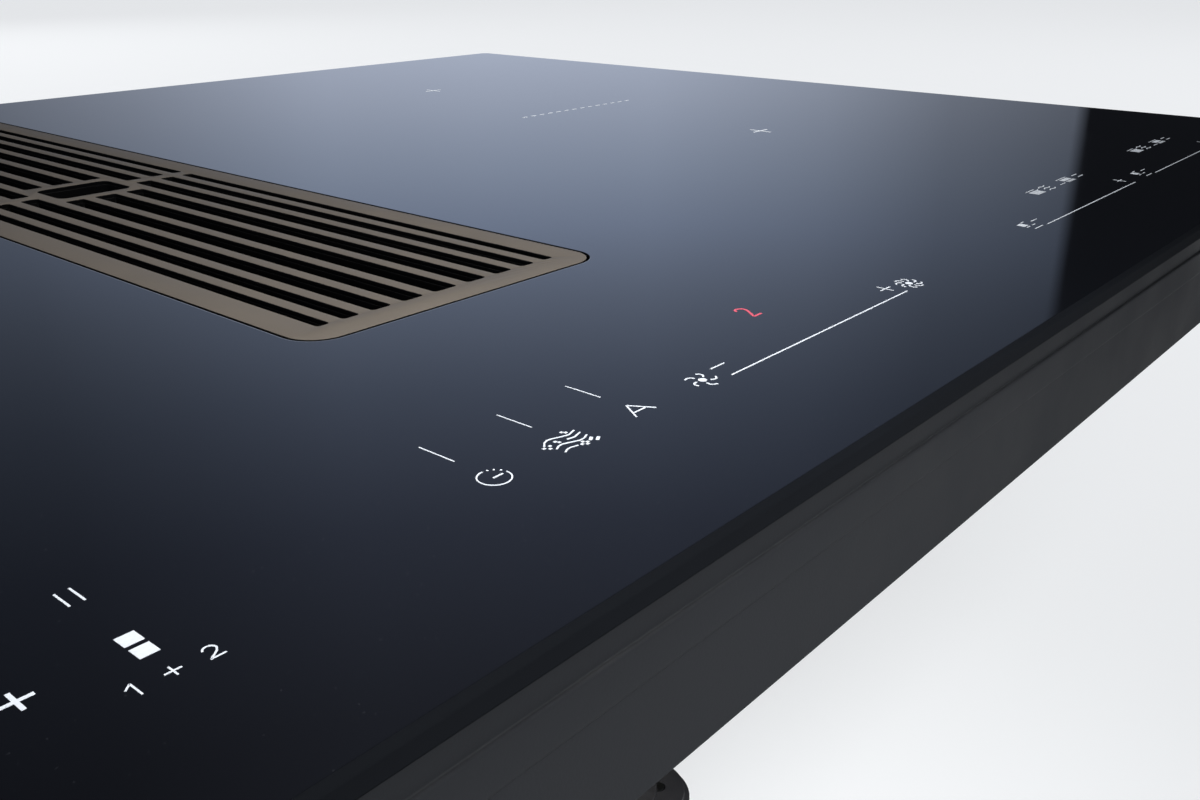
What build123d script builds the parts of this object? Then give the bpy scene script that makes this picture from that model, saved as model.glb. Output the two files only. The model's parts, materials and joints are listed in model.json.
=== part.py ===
"""Downdraft induction cooktop: glass hob with a centre inlet grille, grease filter, coils and blower.

Millimetres, +X to the right, +Y to the back, +Z up. The origin is the bottom centre of the object:
the glass is centred over it, and the blower housing stands on Z = 0.
"""

import os
from math import acos, atan2, degrees, hypot

from build123d import *

os.makedirs("parts", exist_ok=True)

# ---------------------------------------------------------------- driving dimensions

# glass panel
GLASS_W = 800.0
GLASS_D = 515.0
GLASS_T = 4.0
GLASS_R = 5.0
GLASS_BEVEL = 1.0
GLASS_OVERHANG = 18.0  # glass beyond the body tray on each side
SEAL_W = 9.0
SEAL_T = 2.0
SEAL_INSET = 2.0

# clearances
SEAT_GAP = 0.3  # between a loose piece and the seat that carries it
RUN_GAP = 0.05  # radial play of an axle in its hole
SCREW_PLAY = 0.3  # radial play of a screw in its hole
SLIDE_GAP = 0.6  # sideways play of pieces that lift or slide out

# inlet grille
GRILLE_W = 90.0
GRILLE_FRONT_INSET = 108.4  # glass in front of the grille
GRILLE_REAR_INSET = 43.6  # glass behind it, so that the inlet sits behind the middle of the hob
GRILLE_R = 8.0
GRILLE_GAP = 0.9  # dark gap all round the grille
GRILLE_SKIN_T = 1.2
GRILLE_BODY_T = 5.6
GRILLE_FOOT_T = 1.2
GRILLE_FOOT_W = 2.4
GRILLE_FOOT_L = 12.0
SLOT_WIDTHS = (7.0, 6.0, 5.5, 4.6, 3.4)  # from the middle slot outwards
SLAT_W = 3.45
SLOT_END_BORDER = 8.6
SLOT_R = 1.0
CROSS_WEB = 5.2
FINGER_W = 24.2
FINGER_L = 17.9
FINGER_R = 3.0
FINGER_WEB = 4.5
MIDDLE_SLOTS = 2  # slots of each half that stop at the finger hole

# collar below the glass, grease filter, drip tray
COLLAR_MARGIN = 13.0  # collar beyond the glass opening
COLLAR_H = 18.0
LEDGE_W = 4.0
LEDGE_T = 4.0
GASKET_T = 2.0
FILTER_RIM_T = 1.5
FILTER_WALL = 1.0
FILTER_H = 58.0
FILTER_LIP = 5.0
FILTER_WINDOWS = 6
FILTER_WINDOW_L = 44.0
FILTER_WINDOW_H = 30.0
MESH_T = 8.0
MESH_COLUMNS = 4
MESH_ROWS = 20
MESH_WEB = 3.0
HANDLE_RISE = 6.0
HANDLE_W = 16.0
HANDLE_T = 1.5
TRAY_CUP_H = 22.0
TRAY_CUP_WALL = 1.5
TRAY_CUP_Z = 62.0  # underside of the drip tray above the base

# air well
WELL_MARGIN = 10.0  # outside of the well beyond the glass opening
WELL_WALL = 2.5
WELL_FLANGE = 8.0
WELL_FLANGE_T = 3.0
WELL_PLAY = 4.0  # round the well where it passes the body tray
WELL_RIBS = 3
WELL_RIB_T = 4.0
WELL_RIB_TOE = 6.0  # rib under the drip tray, inwards from the tray's side

# body tray
TRAY_H = 56.0
SHEET_T = 1.0
TRAY_LIP = 10.0
TRAY_R = 6.0
CURB_H = 12.0
MODULE_MARGIN = 5.0
VENT_W = 3.0
VENT_L = 34.0
VENT_PITCH = 8.0
VENT_COUNT = 9
REAR_VENT_H = 4.0
REAR_VENT_L = 24.0
REAR_VENT_PITCH = 36.0
REAR_VENT_COUNT = 7

# coils
ZONE_SIDE_GAP = 37.0  # between a coil's former and the outer edge of its plate
ZONE_REAR_GAP = 2.5
ZONE_FRONT_GAP = 24.0
ZONE_GAP = 7.0  # between the two formers of one plate
COIL_EYE_R = 20.0
COIL_SPLIT_R = 52.0
COIL_SPLIT_W = 5.0
FORMER_EDGE = 3.0
FORMER_T = 3.0
WINDING_H = 4.0
FERRITE_COUNT = 8
FERRITE_INSET = 5.0  # end of a bar inside the winding's edge
FERRITE_W = 14.0
FERRITE_T = 5.0
COIL_PLATE_T = 1.5
MICA_T = 0.8
GLASS_AIR = 1.7  # between the mica and the glass
POST_AF = 8.0
POST_INSET = 12.0

# electronics
BOARD_FAN_GAP = 36.0  # between the board and the fan
BOARD_L = 270.0
BOARD_T = 1.6
BOARD_LIFT = 7.0
BOARD_POST_INSET = 8.0
CAPACITOR_R = 11.0
CAPACITOR_H = 18.0
CAPACITOR_PITCH = 30.0
CAPACITOR_COUNT = 3
FAN_SIZE = 80.0
FAN_H = 25.0
FAN_WALL = 3.0
FAN_BLADES = 7
FAN_HUB_R = 15.0
FAN_TIP_GAP = 1.5
FAN_BLADE_T = 1.4
FAN_BLADE_TILT = 38.0
FAN_STRUT = 5.0
FAN_PIN_R = 2.0
FAN_FLOOR_T = 3.0
FAN_FRONT_GAP = 16.0  # fan behind the front edge of the coil plate
SINK_W = 64.0
SINK_L = 170.0
SINK_BASE = 4.0
SINK_H = 28.0
SINK_FINS = 9
SINK_FIN_T = 1.4
SINK_GAP = 6.0  # between the fan and the heat sink
CONTROL_INSET = 45.5  # middle of the strip behind the front edge of the glass
CONTROL_SIDE_INSET = 37.0  # ends of the strip inside the body tray
CONTROL_D = 30.0
CARRIER_T = 5.0
DISPLAY_L = 26.0
DISPLAY_D = 12.0
DISPLAY_H = 4.0
DISPLAY_Y = 7.5  # displays behind the middle of the control strip
DISPLAY_SPREAD = 45.0  # displays to either side of a zone's middle

# blower housing
PLENUM_H = 36.0
MOULD_T = 2.5
DUCT_W = 222.0
DUCT_H = 89.0
DUCT_R = 10.0
DUCT_WALL = 2.0
DUCT_L = 44.0
DUCT_FLANGE = 9.0
DUCT_FLANGE_T = 3.0
DUCT_Y = 205.0  # front face of the duct spigot
MOTOR_ROOM = 25.0  # between the scroll and the body tray
BLOWER_X = 205.0
BLOWER_Y = 40.0
SCROLL_R = 100.0
SCROLL_STEP = 18.0  # the scroll's radius grows by this in each quarter turn
TONGUE_LEAD = 6.0  # degrees that the tongue stops short of the tangent to the duct
PLENUM_R = 120.0
PLENUM_MARGIN = 4.0
PLENUM_CORNER = 14.0
WELL_MOUTH_MARGIN = 5.0
DRAIN_RIB_H = 1.5
HOUSING_SCREW_R = 2.0
HOUSING_SCREW_HEAD_R = 4.0
HOUSING_SCREW_HEAD_T = 2.4
HOUSING_SCREW_L = 14.0
PLENUM_SCREW_SINK = 4.0
BOSS_R = 5.0
BOSS_SINK = 1.0  # boss into the scroll's wall
PLENUM_BOSS_INSET = 10.0
COVER_RIB_T = 2.0
COVER_RIB_H = 5.0
COVER_RIB_GAP = 1.0  # between the rib and the motor plate

# impeller and motor
IMPELLER_R = 93.0
IMPELLER_H = 70.0
IMPELLER_GAP = 6.0
BLADE_COUNT = 28
BLADE_DEPTH = 17.0
BLADE_SWEEP = 9.0
BLADE_BOW = 3.2
BLADE_T = 1.4
BLADE_RIM = 1.5  # rings beyond the blade tips
RING_T = 2.0
INLET_RING_R = 71.0
INLET_RING_FLANGE = 14.0
INLET_RING_T = 2.0
INLET_RING_NECK = 8.0
ROTOR_R = 50.0
ROTOR_H = 38.0
ROTOR_WALL = 3.0
ROTOR_FLANGE = 7.0
STATOR_R = 44.0
STATOR_FLOOR_GAP = 3.0
STATOR_NECK_R = 18.0
STATOR_SLOTS = 9
STATOR_SLOT_L = 16.0
STATOR_SLOT_W = 4.0
SHAFT_R = 4.0
MOTOR_PLATE_R = 74.0
MOTOR_PLATE_T = 3.0
MOTOR_HOLE_R = 58.0
MOTOR_PLATE_HOLE_R = 7.0
MOTOR_PLATE_HOLE_PITCH = 40.0
BUSH_R = 6.0
BUSH_T = 3.0
BUSH_COUNT = 3

# non-return flaps
FLAP_AXLE_R = 2.0
FLAP_T = 1.4
FLAP_AXLE_Y = 12.0  # axle behind the front face of the spigot
FLAP_PLAY = 1.2
FLAP_GAP = 1.0  # between a flap's edge and the other flap's knuckles
KNUCKLE_R = 3.6
KNUCKLE_COUNT = 3
KNUCKLE_L = 24.0

# overflow drawer in the plenum
DRAWER_W = 84.0
DRAWER_L = 180.0
DRAWER_H = 25.0
DRAWER_WALL = 1.8
DRAWER_FRONT_MARGIN = 5.0
DRAWER_FRONT_T = 2.5
DRAWER_OPENING_H = 29.0
PULL_W = 40.0
PULL_D = 10.0
PULL_T = 3.0
RUNNER_H = 1.6
RUNNER_W = 6.0
RUNNER_GUIDE_H = 6.0
RUNNER_GUIDE_T = 2.0

# terminal box and cable gland
TERMINAL_W = 120.0
TERMINAL_D = 84.0
TERMINAL_H = 30.0
TERMINAL_WALL = 2.0
TERMINAL_LID_T = 2.0
TERMINAL_SIDE_INSET = 52.0  # box inside the tray's side
TERMINAL_INSET = 12.0  # box in front of the tray's rear wall
TERMINAL_BLOCK_W = 60.0
TERMINAL_BLOCK_D = 22.0
TERMINAL_BLOCK_H = 16.0
GLAND_R = 9.0
GLAND_BORE_R = 5.5
GLAND_NUT_R = 13.0
GLAND_NUT_T = 6.0
GLAND_DOME_L = 8.0
GLAND_LIP = 2.0
GLAND_TAPER = 12.0
GLAND_THREAD_L = 8.0

# brackets and worktop clamps
HANGER_GAP = 2.0  # between a bracket's foot and the cover's rib
HANGER_W = 20.0
HANGER_FOOT = 14.0
HANGER_T = 1.5
CLAMP_INSET = 12.0  # clamp screw inside the tray's side wall
CLAMP_Y = 150.0
CLAMP_L = 46.0
CLAMP_W = 18.0
CLAMP_T = 3.0
CLAMP_TIP_H = 5.0
CLAMP_TIP_L = 6.0
CLAMP_SPACER = 7.0
CLAMP_SCREW_R = 2.5
CLAMP_HEAD_R = 4.75
CLAMP_HEAD_T = 3.0
CLAMP_COLLAR_R = 4.5
CLAMP_THREAD_ABOVE = 6.0

# ---------------------------------------------------------------- heights and outlines worked out

Z_SCROLL = PLENUM_H
Z_COVER = Z_SCROLL + DUCT_H
Z_TRAY = Z_COVER + MOTOR_ROOM
Z_FLOOR = Z_TRAY + SHEET_T
Z_GLASS = Z_TRAY + TRAY_H
Z_TOP = Z_GLASS + GLASS_T

TRAY_W = GLASS_W - 2 * GLASS_OVERHANG
TRAY_D = GLASS_D - 2 * GLASS_OVERHANG
TRAY_INNER_X = TRAY_W / 2 - SHEET_T
TRAY_INNER_Y = TRAY_D / 2 - SHEET_T

GRILLE_L = GLASS_D - GRILLE_FRONT_INSET - GRILLE_REAR_INSET
INLET_Y = (GRILLE_FRONT_INSET - GRILLE_REAR_INSET) / 2
INLET_W = GRILLE_W + 2 * GRILLE_GAP
INLET_L = GRILLE_L + 2 * GRILLE_GAP
INLET_R = GRILLE_R + GRILLE_GAP
FINGER_Y = INLET_Y

Z_COLLAR = Z_GLASS - COLLAR_H
Z_GRILLE_FEET = Z_TOP - GRILLE_SKIN_T - GRILLE_BODY_T - GRILLE_FOOT_T
Z_GRILLE_SEAT = Z_GRILLE_FEET - SEAT_GAP
Z_FILTER_SEAT = Z_COLLAR + LEDGE_T
COLLAR_W = INLET_W + 2 * COLLAR_MARGIN
COLLAR_L = INLET_L + 2 * COLLAR_MARGIN
MID_W = INLET_W - 2 * LEDGE_W
MID_L = INLET_L - 2 * LEDGE_W
MID_R = INLET_R - LEDGE_W / 2
THROAT_W = MID_W - 2 * LEDGE_W
THROAT_L = MID_L - 2 * LEDGE_W
THROAT_R = MID_R - LEDGE_W / 2

WELL_W = INLET_W + 2 * WELL_MARGIN
WELL_L = INLET_L + 2 * WELL_MARGIN
WELL_TOP = Z_COLLAR - GASKET_T
WELL_FOOT = Z_SCROLL + MOULD_T
WELL_R = INLET_R + WELL_MARGIN / 2
CURB_X = WELL_W / 2 + WELL_PLAY

CONTROL_Y = CONTROL_INSET - GLASS_D / 2
CONTROL_W = TRAY_W - 2 * CONTROL_SIDE_INSET
COIL_STACK = GLASS_AIR + MICA_T + WINDING_H + FORMER_T + FERRITE_T + COIL_PLATE_T
Z_COIL_PLATE = Z_GLASS - COIL_STACK
Z_FERRITE = Z_COIL_PLATE + COIL_PLATE_T
Z_FORMER = Z_FERRITE + FERRITE_T
Z_WINDING = Z_FORMER + FORMER_T
Z_MICA = Z_WINDING + WINDING_H
MODULE_X0 = CURB_X + SHEET_T + MODULE_MARGIN
MODULE_X1 = TRAY_INNER_X - MODULE_MARGIN
MODULE_Y0 = CONTROL_Y + CONTROL_D / 2 + MODULE_MARGIN
MODULE_Y1 = TRAY_INNER_Y - MODULE_MARGIN
MODULE_CX = (MODULE_X0 + MODULE_X1) / 2
MODULE_CY = (MODULE_Y0 + MODULE_Y1) / 2
MODULE_W = MODULE_X1 - MODULE_X0
MODULE_L = MODULE_Y1 - MODULE_Y0

FORMER_R = (MODULE_L - ZONE_REAR_GAP - ZONE_FRONT_GAP - ZONE_GAP) / 4
COIL_R = FORMER_R - FORMER_EDGE
FERRITE_L = COIL_R - FERRITE_INSET - COIL_EYE_R - FERRITE_W
ZONE_X = MODULE_X1 - ZONE_SIDE_GAP - FORMER_R
ZONE_REAR_Y = MODULE_Y1 - ZONE_REAR_GAP - FORMER_R
ZONE_FRONT_Y = MODULE_Y0 + ZONE_FRONT_GAP + FORMER_R

FAN_X = MODULE_X1 - FAN_SIZE / 2 - POST_INSET
FAN_Y = MODULE_Y0 + FAN_FRONT_GAP + FAN_SIZE / 2
SINK_Y = FAN_Y + FAN_SIZE / 2 + SINK_GAP + SINK_L / 2
BOARD_W = FAN_X - FAN_SIZE / 2 - BOARD_FAN_GAP - MODULE_X0 - POST_INSET
BOARD_X = MODULE_X0 + POST_INSET + BOARD_W / 2
BOARD_Y = MODULE_CY

SCROLL_RIGHT = BLOWER_X + SCROLL_STEP / 2 + SCROLL_R + 3 * SCROLL_STEP
DUCT_X = SCROLL_RIGHT + MOULD_T - DUCT_W / 2
DUCT_CZ = (Z_SCROLL + Z_COVER) / 2
FLAP_Y = DUCT_Y + FLAP_AXLE_Y
DIFFUSER_X = DUCT_X - DUCT_W / 2 + MOULD_T - (BLOWER_X - SCROLL_STEP / 2)
DIFFUSER_Y = DUCT_Y - (BLOWER_Y + SCROLL_STEP / 2)
DIFFUSER_REACH = hypot(DIFFUSER_X, DIFFUSER_Y)
TONGUE_ANGLE = degrees(atan2(DIFFUSER_Y, DIFFUSER_X) - acos(SCROLL_R / DIFFUSER_REACH)) + TONGUE_LEAD
Z_IMPELLER = Z_SCROLL + MOULD_T + IMPELLER_GAP
Z_HUB = Z_IMPELLER + IMPELLER_H - RING_T
Z_ROTOR = Z_HUB + RING_T - ROTOR_H
Z_MOTOR_PLATE = Z_COVER + BUSH_T
COVER_RIB_R = MOTOR_PLATE_R + COVER_RIB_GAP + COVER_RIB_T
HANGER_R = COVER_RIB_R + HANGER_GAP + (HANGER_FOOT ** 2 + HANGER_W ** 2) ** 0.5 / 2

PLENUM_WELL_W = WELL_W + 2 * WELL_FLANGE + 2 * PLENUM_MARGIN
PLENUM_WELL_L = WELL_L + 2 * WELL_FLANGE + 2 * PLENUM_MARGIN
PLENUM_FRONT = INLET_Y - PLENUM_WELL_L / 2
DRAWER_Y = PLENUM_FRONT - SEAT_GAP
Z_DRAWER = MOULD_T + RUNNER_H + SEAT_GAP

TERMINAL_X = TERMINAL_W / 2 + TERMINAL_SIDE_INSET - TRAY_W / 2

CLAMP_X = TRAY_W / 2 - CLAMP_INSET
Z_CLAMP = Z_TRAY - CLAMP_SPACER - SEAT_GAP - CLAMP_T

SIDES = {"left": -1, "right": 1}
ZONES = {"front": ZONE_FRONT_Y, "rear": ZONE_REAR_Y}
DISPLAY_X = (-ZONE_X - DISPLAY_SPREAD, -ZONE_X + DISPLAY_SPREAD, 0,
             ZONE_X - DISPLAY_SPREAD, ZONE_X + DISPLAY_SPREAD)


def save(part, label):
    """Name a finished piece and write it to its own file."""
    part.label = label
    export_step(part, f"parts/{label}.step")


def slot_spans():
    """Lowest and highest X of each slot of the grille's right half, from the middle outwards."""
    spans = []
    inner = -SLOT_WIDTHS[0] / 2
    for width in SLOT_WIDTHS:
        spans.append((inner, inner + width))
        inner += width + SLAT_W
    return spans


def grille_slots():
    """Places and sizes of all slots: (x, y, width, length), with the middle ones cut short."""
    reach = GRILLE_L / 2 - SLOT_END_BORDER
    slots = []
    for number, (x0, x1) in enumerate(slot_spans()):
        start = CROSS_WEB / 2
        if number < MIDDLE_SLOTS:
            start = FINGER_L / 2 + FINGER_WEB
        length = reach - start
        mirrored = (1,) if number == 0 else (1, -1)
        for side in mirrored:
            for end in (1, -1):
                x = side * (x0 + x1) / 2
                slots.append((x, INLET_Y + end * (start + length / 2), x1 - x0, length))
    return slots


# ---------------------------------------------------------------- glass, seal, collar

with BuildPart() as glass_panel:
    with BuildSketch(Plane.XY.offset(Z_GLASS)):
        RectangleRounded(GLASS_W, GLASS_D, GLASS_R)
        with Locations((0, INLET_Y)):
            RectangleRounded(INLET_W, INLET_L, INLET_R, mode=Mode.SUBTRACT)
    extrude(amount=GLASS_T)
    top_edges = glass_panel.faces().sort_by(Axis.Z)[-1].outer_wire().edges()
    chamfer(top_edges, GLASS_BEVEL)
save(glass_panel.part, "glass_panel")

with BuildPart() as worktop_seal:
    with BuildSketch(Plane.XY.offset(Z_GLASS - SEAL_T)):
        RectangleRounded(GLASS_W - 2 * SEAL_INSET, GLASS_D - 2 * SEAL_INSET, GLASS_R - SEAL_INSET)
        Rectangle(GLASS_W - 2 * SEAL_INSET - 2 * SEAL_W, GLASS_D - 2 * SEAL_INSET - 2 * SEAL_W,
                  mode=Mode.SUBTRACT)
    extrude(amount=SEAL_T)
save(worktop_seal.part, "worktop_seal")

with BuildPart() as inlet_collar:
    with BuildSketch(Plane.XY.offset(Z_COLLAR)):
        with Locations((0, INLET_Y)):
            RectangleRounded(COLLAR_W, COLLAR_L, INLET_R + COLLAR_MARGIN / 2)
            RectangleRounded(THROAT_W, THROAT_L, THROAT_R, mode=Mode.SUBTRACT)
    extrude(amount=COLLAR_H)
    with BuildSketch(Plane.XY.offset(Z_FILTER_SEAT)):
        with Locations((0, INLET_Y)):
            RectangleRounded(MID_W, MID_L, MID_R)
    extrude(amount=COLLAR_H, mode=Mode.SUBTRACT)
    with BuildSketch(Plane.XY.offset(Z_GRILLE_SEAT)):
        with Locations((0, INLET_Y)):
            RectangleRounded(INLET_W, INLET_L, INLET_R)
    extrude(amount=COLLAR_H, mode=Mode.SUBTRACT)
save(inlet_collar.part, "inlet_collar")

# ---------------------------------------------------------------- grille

with BuildPart() as grille_plate:
    with BuildSketch(Plane.XY.offset(Z_TOP - GRILLE_SKIN_T)):
        with Locations((0, INLET_Y)):
            RectangleRounded(GRILLE_W, GRILLE_L, GRILLE_R)
        for x, y, width, length in grille_slots():
            with Locations((x, y)):
                RectangleRounded(width, length, SLOT_R, mode=Mode.SUBTRACT)
        with Locations((0, FINGER_Y)):
            RectangleRounded(FINGER_W, FINGER_L, FINGER_R, mode=Mode.SUBTRACT)
    extrude(amount=GRILLE_SKIN_T)
save(grille_plate.part, "grille_plate")

with BuildPart() as grille_body:
    with BuildSketch(Plane.XY.offset(Z_TOP - GRILLE_SKIN_T - GRILLE_BODY_T)):
        with Locations((0, INLET_Y)):
            RectangleRounded(GRILLE_W - 2 * SEAT_GAP, GRILLE_L - 2 * SEAT_GAP, GRILLE_R - SEAT_GAP)
        for x, y, width, length in grille_slots():
            with Locations((x, y)):
                Rectangle(width, length, mode=Mode.SUBTRACT)
        with Locations((0, FINGER_Y)):
            RectangleRounded(FINGER_W, FINGER_L, FINGER_R, mode=Mode.SUBTRACT)
    extrude(amount=GRILLE_BODY_T)
save(grille_body.part, "grille_body")

with BuildPart() as grille_feet:
    foot_x = GRILLE_W / 2 - SEAT_GAP - GRILLE_FOOT_W / 2
    foot_pitch = GRILLE_L / 2 - GRILLE_R - GRILLE_FOOT_L
    with BuildSketch(Plane.XY.offset(Z_GRILLE_FEET)):
        with Locations((0, INLET_Y)):
            with GridLocations(2 * foot_x, foot_pitch, 2, 3):
                Rectangle(GRILLE_FOOT_W, GRILLE_FOOT_L)
    extrude(amount=GRILLE_FOOT_T)
save(grille_feet.part, "grille_feet")

# ---------------------------------------------------------------- grease filter and drip tray

FILTER_RIM_W = MID_W - 2 * SLIDE_GAP
FILTER_RIM_L = MID_L - 2 * SLIDE_GAP
FILTER_W = THROAT_W - 2 * SLIDE_GAP
FILTER_L = THROAT_L - 2 * SLIDE_GAP
FILTER_R = THROAT_R - SLIDE_GAP
Z_FILTER_RIM = Z_FILTER_SEAT + SEAT_GAP
Z_FILTER = Z_FILTER_RIM + FILTER_RIM_T - FILTER_H

with BuildPart() as filter_frame:
    with BuildSketch(Plane.XY.offset(Z_FILTER)):
        with Locations((0, INLET_Y)):
            RectangleRounded(FILTER_W, FILTER_L, FILTER_R)
    extrude(amount=FILTER_H)
    with BuildSketch(Plane.XY.offset(Z_FILTER_RIM)):
        with Locations((0, INLET_Y)):
            RectangleRounded(FILTER_RIM_W, FILTER_RIM_L, MID_R - SLIDE_GAP)
    extrude(amount=FILTER_RIM_T)
    with BuildSketch(Plane.XY.offset(Z_FILTER + FILTER_WALL)):
        with Locations((0, INLET_Y)):
            RectangleRounded(FILTER_W - 2 * FILTER_WALL, FILTER_L - 2 * FILTER_WALL, FILTER_R - FILTER_WALL)
    extrude(amount=FILTER_H, mode=Mode.SUBTRACT)
    with BuildSketch(Plane.XY.offset(Z_FILTER)):
        with Locations((0, INLET_Y)):
            Rectangle(FILTER_W - 2 * FILTER_LIP, FILTER_L - 2 * FILTER_LIP)
    extrude(amount=FILTER_WALL, mode=Mode.SUBTRACT)
    window_z = Z_FILTER + FILTER_WALL + MESH_T + FILTER_WINDOW_H / 2 + FILTER_LIP
    with BuildSketch(Plane.YZ.offset(-FILTER_W)):
        with Locations((INLET_Y, window_z)):
            with GridLocations(FILTER_L / FILTER_WINDOWS, 1, FILTER_WINDOWS, 1):
                Rectangle(FILTER_WINDOW_L, FILTER_WINDOW_H)
    extrude(amount=2 * FILTER_W, mode=Mode.SUBTRACT)
save(filter_frame.part, "filter_frame")

with BuildPart() as filter_mesh:
    mesh_w = FILTER_W - 2 * FILTER_WALL - 2 * SEAT_GAP
    mesh_l = FILTER_L - 2 * FILTER_WALL - 2 * SEAT_GAP
    open_w = mesh_w - 2 * FILTER_LIP
    open_l = mesh_l - 2 * FILTER_LIP
    with BuildSketch(Plane.XY.offset(Z_FILTER + FILTER_WALL)):
        with Locations((0, INLET_Y)):
            RectangleRounded(mesh_w, mesh_l, FILTER_R - FILTER_WALL - SEAT_GAP)
            with GridLocations(open_w / MESH_COLUMNS, open_l / MESH_ROWS, MESH_COLUMNS, MESH_ROWS):
                Rectangle(open_w / MESH_COLUMNS - MESH_WEB, open_l / MESH_ROWS - MESH_WEB,
                          mode=Mode.SUBTRACT)
    extrude(amount=MESH_T)
save(filter_mesh.part, "filter_mesh")

with BuildPart() as filter_handle:
    handle_z = Z_FILTER_RIM + FILTER_RIM_T
    handle_x = FILTER_W / 2
    with BuildSketch(Plane.XZ.offset(-INLET_Y - HANDLE_W / 2)):
        with BuildLine():
            Polyline((-handle_x, handle_z), (-handle_x, handle_z + HANDLE_T),
                     (-handle_x + HANDLE_RISE, handle_z + HANDLE_T),
                     (-handle_x + 2 * HANDLE_RISE, handle_z + HANDLE_RISE),
                     (handle_x - 2 * HANDLE_RISE, handle_z + HANDLE_RISE),
                     (handle_x - HANDLE_RISE, handle_z + HANDLE_T),
                     (handle_x, handle_z + HANDLE_T), (handle_x, handle_z),
                     (handle_x - HANDLE_RISE - HANDLE_T / 2, handle_z),
                     (handle_x - 2 * HANDLE_RISE - HANDLE_T / 2, handle_z + HANDLE_RISE - HANDLE_T),
                     (-handle_x + 2 * HANDLE_RISE + HANDLE_T / 2, handle_z + HANDLE_RISE - HANDLE_T),
                     (-handle_x + HANDLE_RISE + HANDLE_T / 2, handle_z), close=True)
        make_face()
    extrude(amount=HANDLE_W)
save(filter_handle.part, "filter_handle")

DRIP_W = FILTER_W - 2 * SLIDE_GAP
DRIP_L = FILTER_L - 2 * SLIDE_GAP

with BuildPart() as drip_tray:
    with BuildSketch(Plane.XY.offset(TRAY_CUP_Z)):
        with Locations((0, INLET_Y)):
            RectangleRounded(DRIP_W, DRIP_L, MID_R)
    extrude(amount=TRAY_CUP_H)
    with BuildSketch(Plane.XY.offset(TRAY_CUP_Z + TRAY_CUP_WALL)):
        with Locations((0, INLET_Y)):
            RectangleRounded(DRIP_W - 2 * TRAY_CUP_WALL, DRIP_L - 2 * TRAY_CUP_WALL,
                             MID_R - TRAY_CUP_WALL)
    extrude(amount=TRAY_CUP_H, mode=Mode.SUBTRACT)
    with BuildSketch(Plane.XY.offset(TRAY_CUP_Z + TRAY_CUP_WALL)):
        with Locations((0, INLET_Y)):
            Rectangle(DRIP_W - TRAY_CUP_WALL, 2 * TRAY_CUP_WALL)
    extrude(amount=TRAY_CUP_H - TRAY_CUP_WALL)
save(drip_tray.part, "drip_tray")

# ---------------------------------------------------------------- air well

with BuildPart() as well_gasket:
    with BuildSketch(Plane.XY.offset(WELL_TOP)):
        with Locations((0, INLET_Y)):
            RectangleRounded(WELL_W, WELL_L, WELL_R)
            RectangleRounded(WELL_W - 2 * WELL_WALL, WELL_L - 2 * WELL_WALL, WELL_R - WELL_WALL,
                             mode=Mode.SUBTRACT)
    extrude(amount=GASKET_T)
save(well_gasket.part, "well_gasket")

RIB_TIP = DRIP_W / 2 - WELL_RIB_TOE
RIB_ROOT = WELL_W / 2 - WELL_WALL / 2

with BuildPart() as well_body:
    with BuildSketch(Plane.XY.offset(WELL_FOOT)):
        with Locations((0, INLET_Y)):
            RectangleRounded(WELL_W, WELL_L, WELL_R)
    extrude(amount=WELL_TOP - WELL_FOOT)
    with BuildSketch(Plane.XY.offset(WELL_FOOT)):
        with Locations((0, INLET_Y)):
            RectangleRounded(WELL_W + 2 * WELL_FLANGE, WELL_L + 2 * WELL_FLANGE, WELL_R + WELL_FLANGE)
    extrude(amount=WELL_FLANGE_T)
    with BuildSketch(Plane.XY.offset(WELL_FOOT)):
        with Locations((0, INLET_Y)):
            RectangleRounded(WELL_W - 2 * WELL_WALL, WELL_L - 2 * WELL_WALL, WELL_R - WELL_WALL)
    extrude(amount=WELL_TOP - WELL_FOOT, mode=Mode.SUBTRACT)
    rib_pitch = DRIP_L / WELL_RIBS
    for number in range(WELL_RIBS):
        rib_y = INLET_Y + (number - (WELL_RIBS - 1) / 2) * rib_pitch
        for side in SIDES.values():
            with BuildSketch(Plane.XZ.offset(-rib_y - WELL_RIB_T / 2)):
                with BuildLine():
                    Polyline((side * RIB_ROOT, WELL_FOOT), (side * RIB_ROOT, TRAY_CUP_Z + TRAY_CUP_H / 2),
                             (side * (DRIP_W / 2 + SLIDE_GAP), TRAY_CUP_Z + TRAY_CUP_H / 2),
                             (side * (DRIP_W / 2 + SLIDE_GAP), TRAY_CUP_Z - SEAT_GAP),
                             (side * RIB_TIP, TRAY_CUP_Z - SEAT_GAP), close=True)
                make_face()
            extrude(amount=WELL_RIB_T)
save(well_body.part, "well_body")

# ---------------------------------------------------------------- body tray

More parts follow.
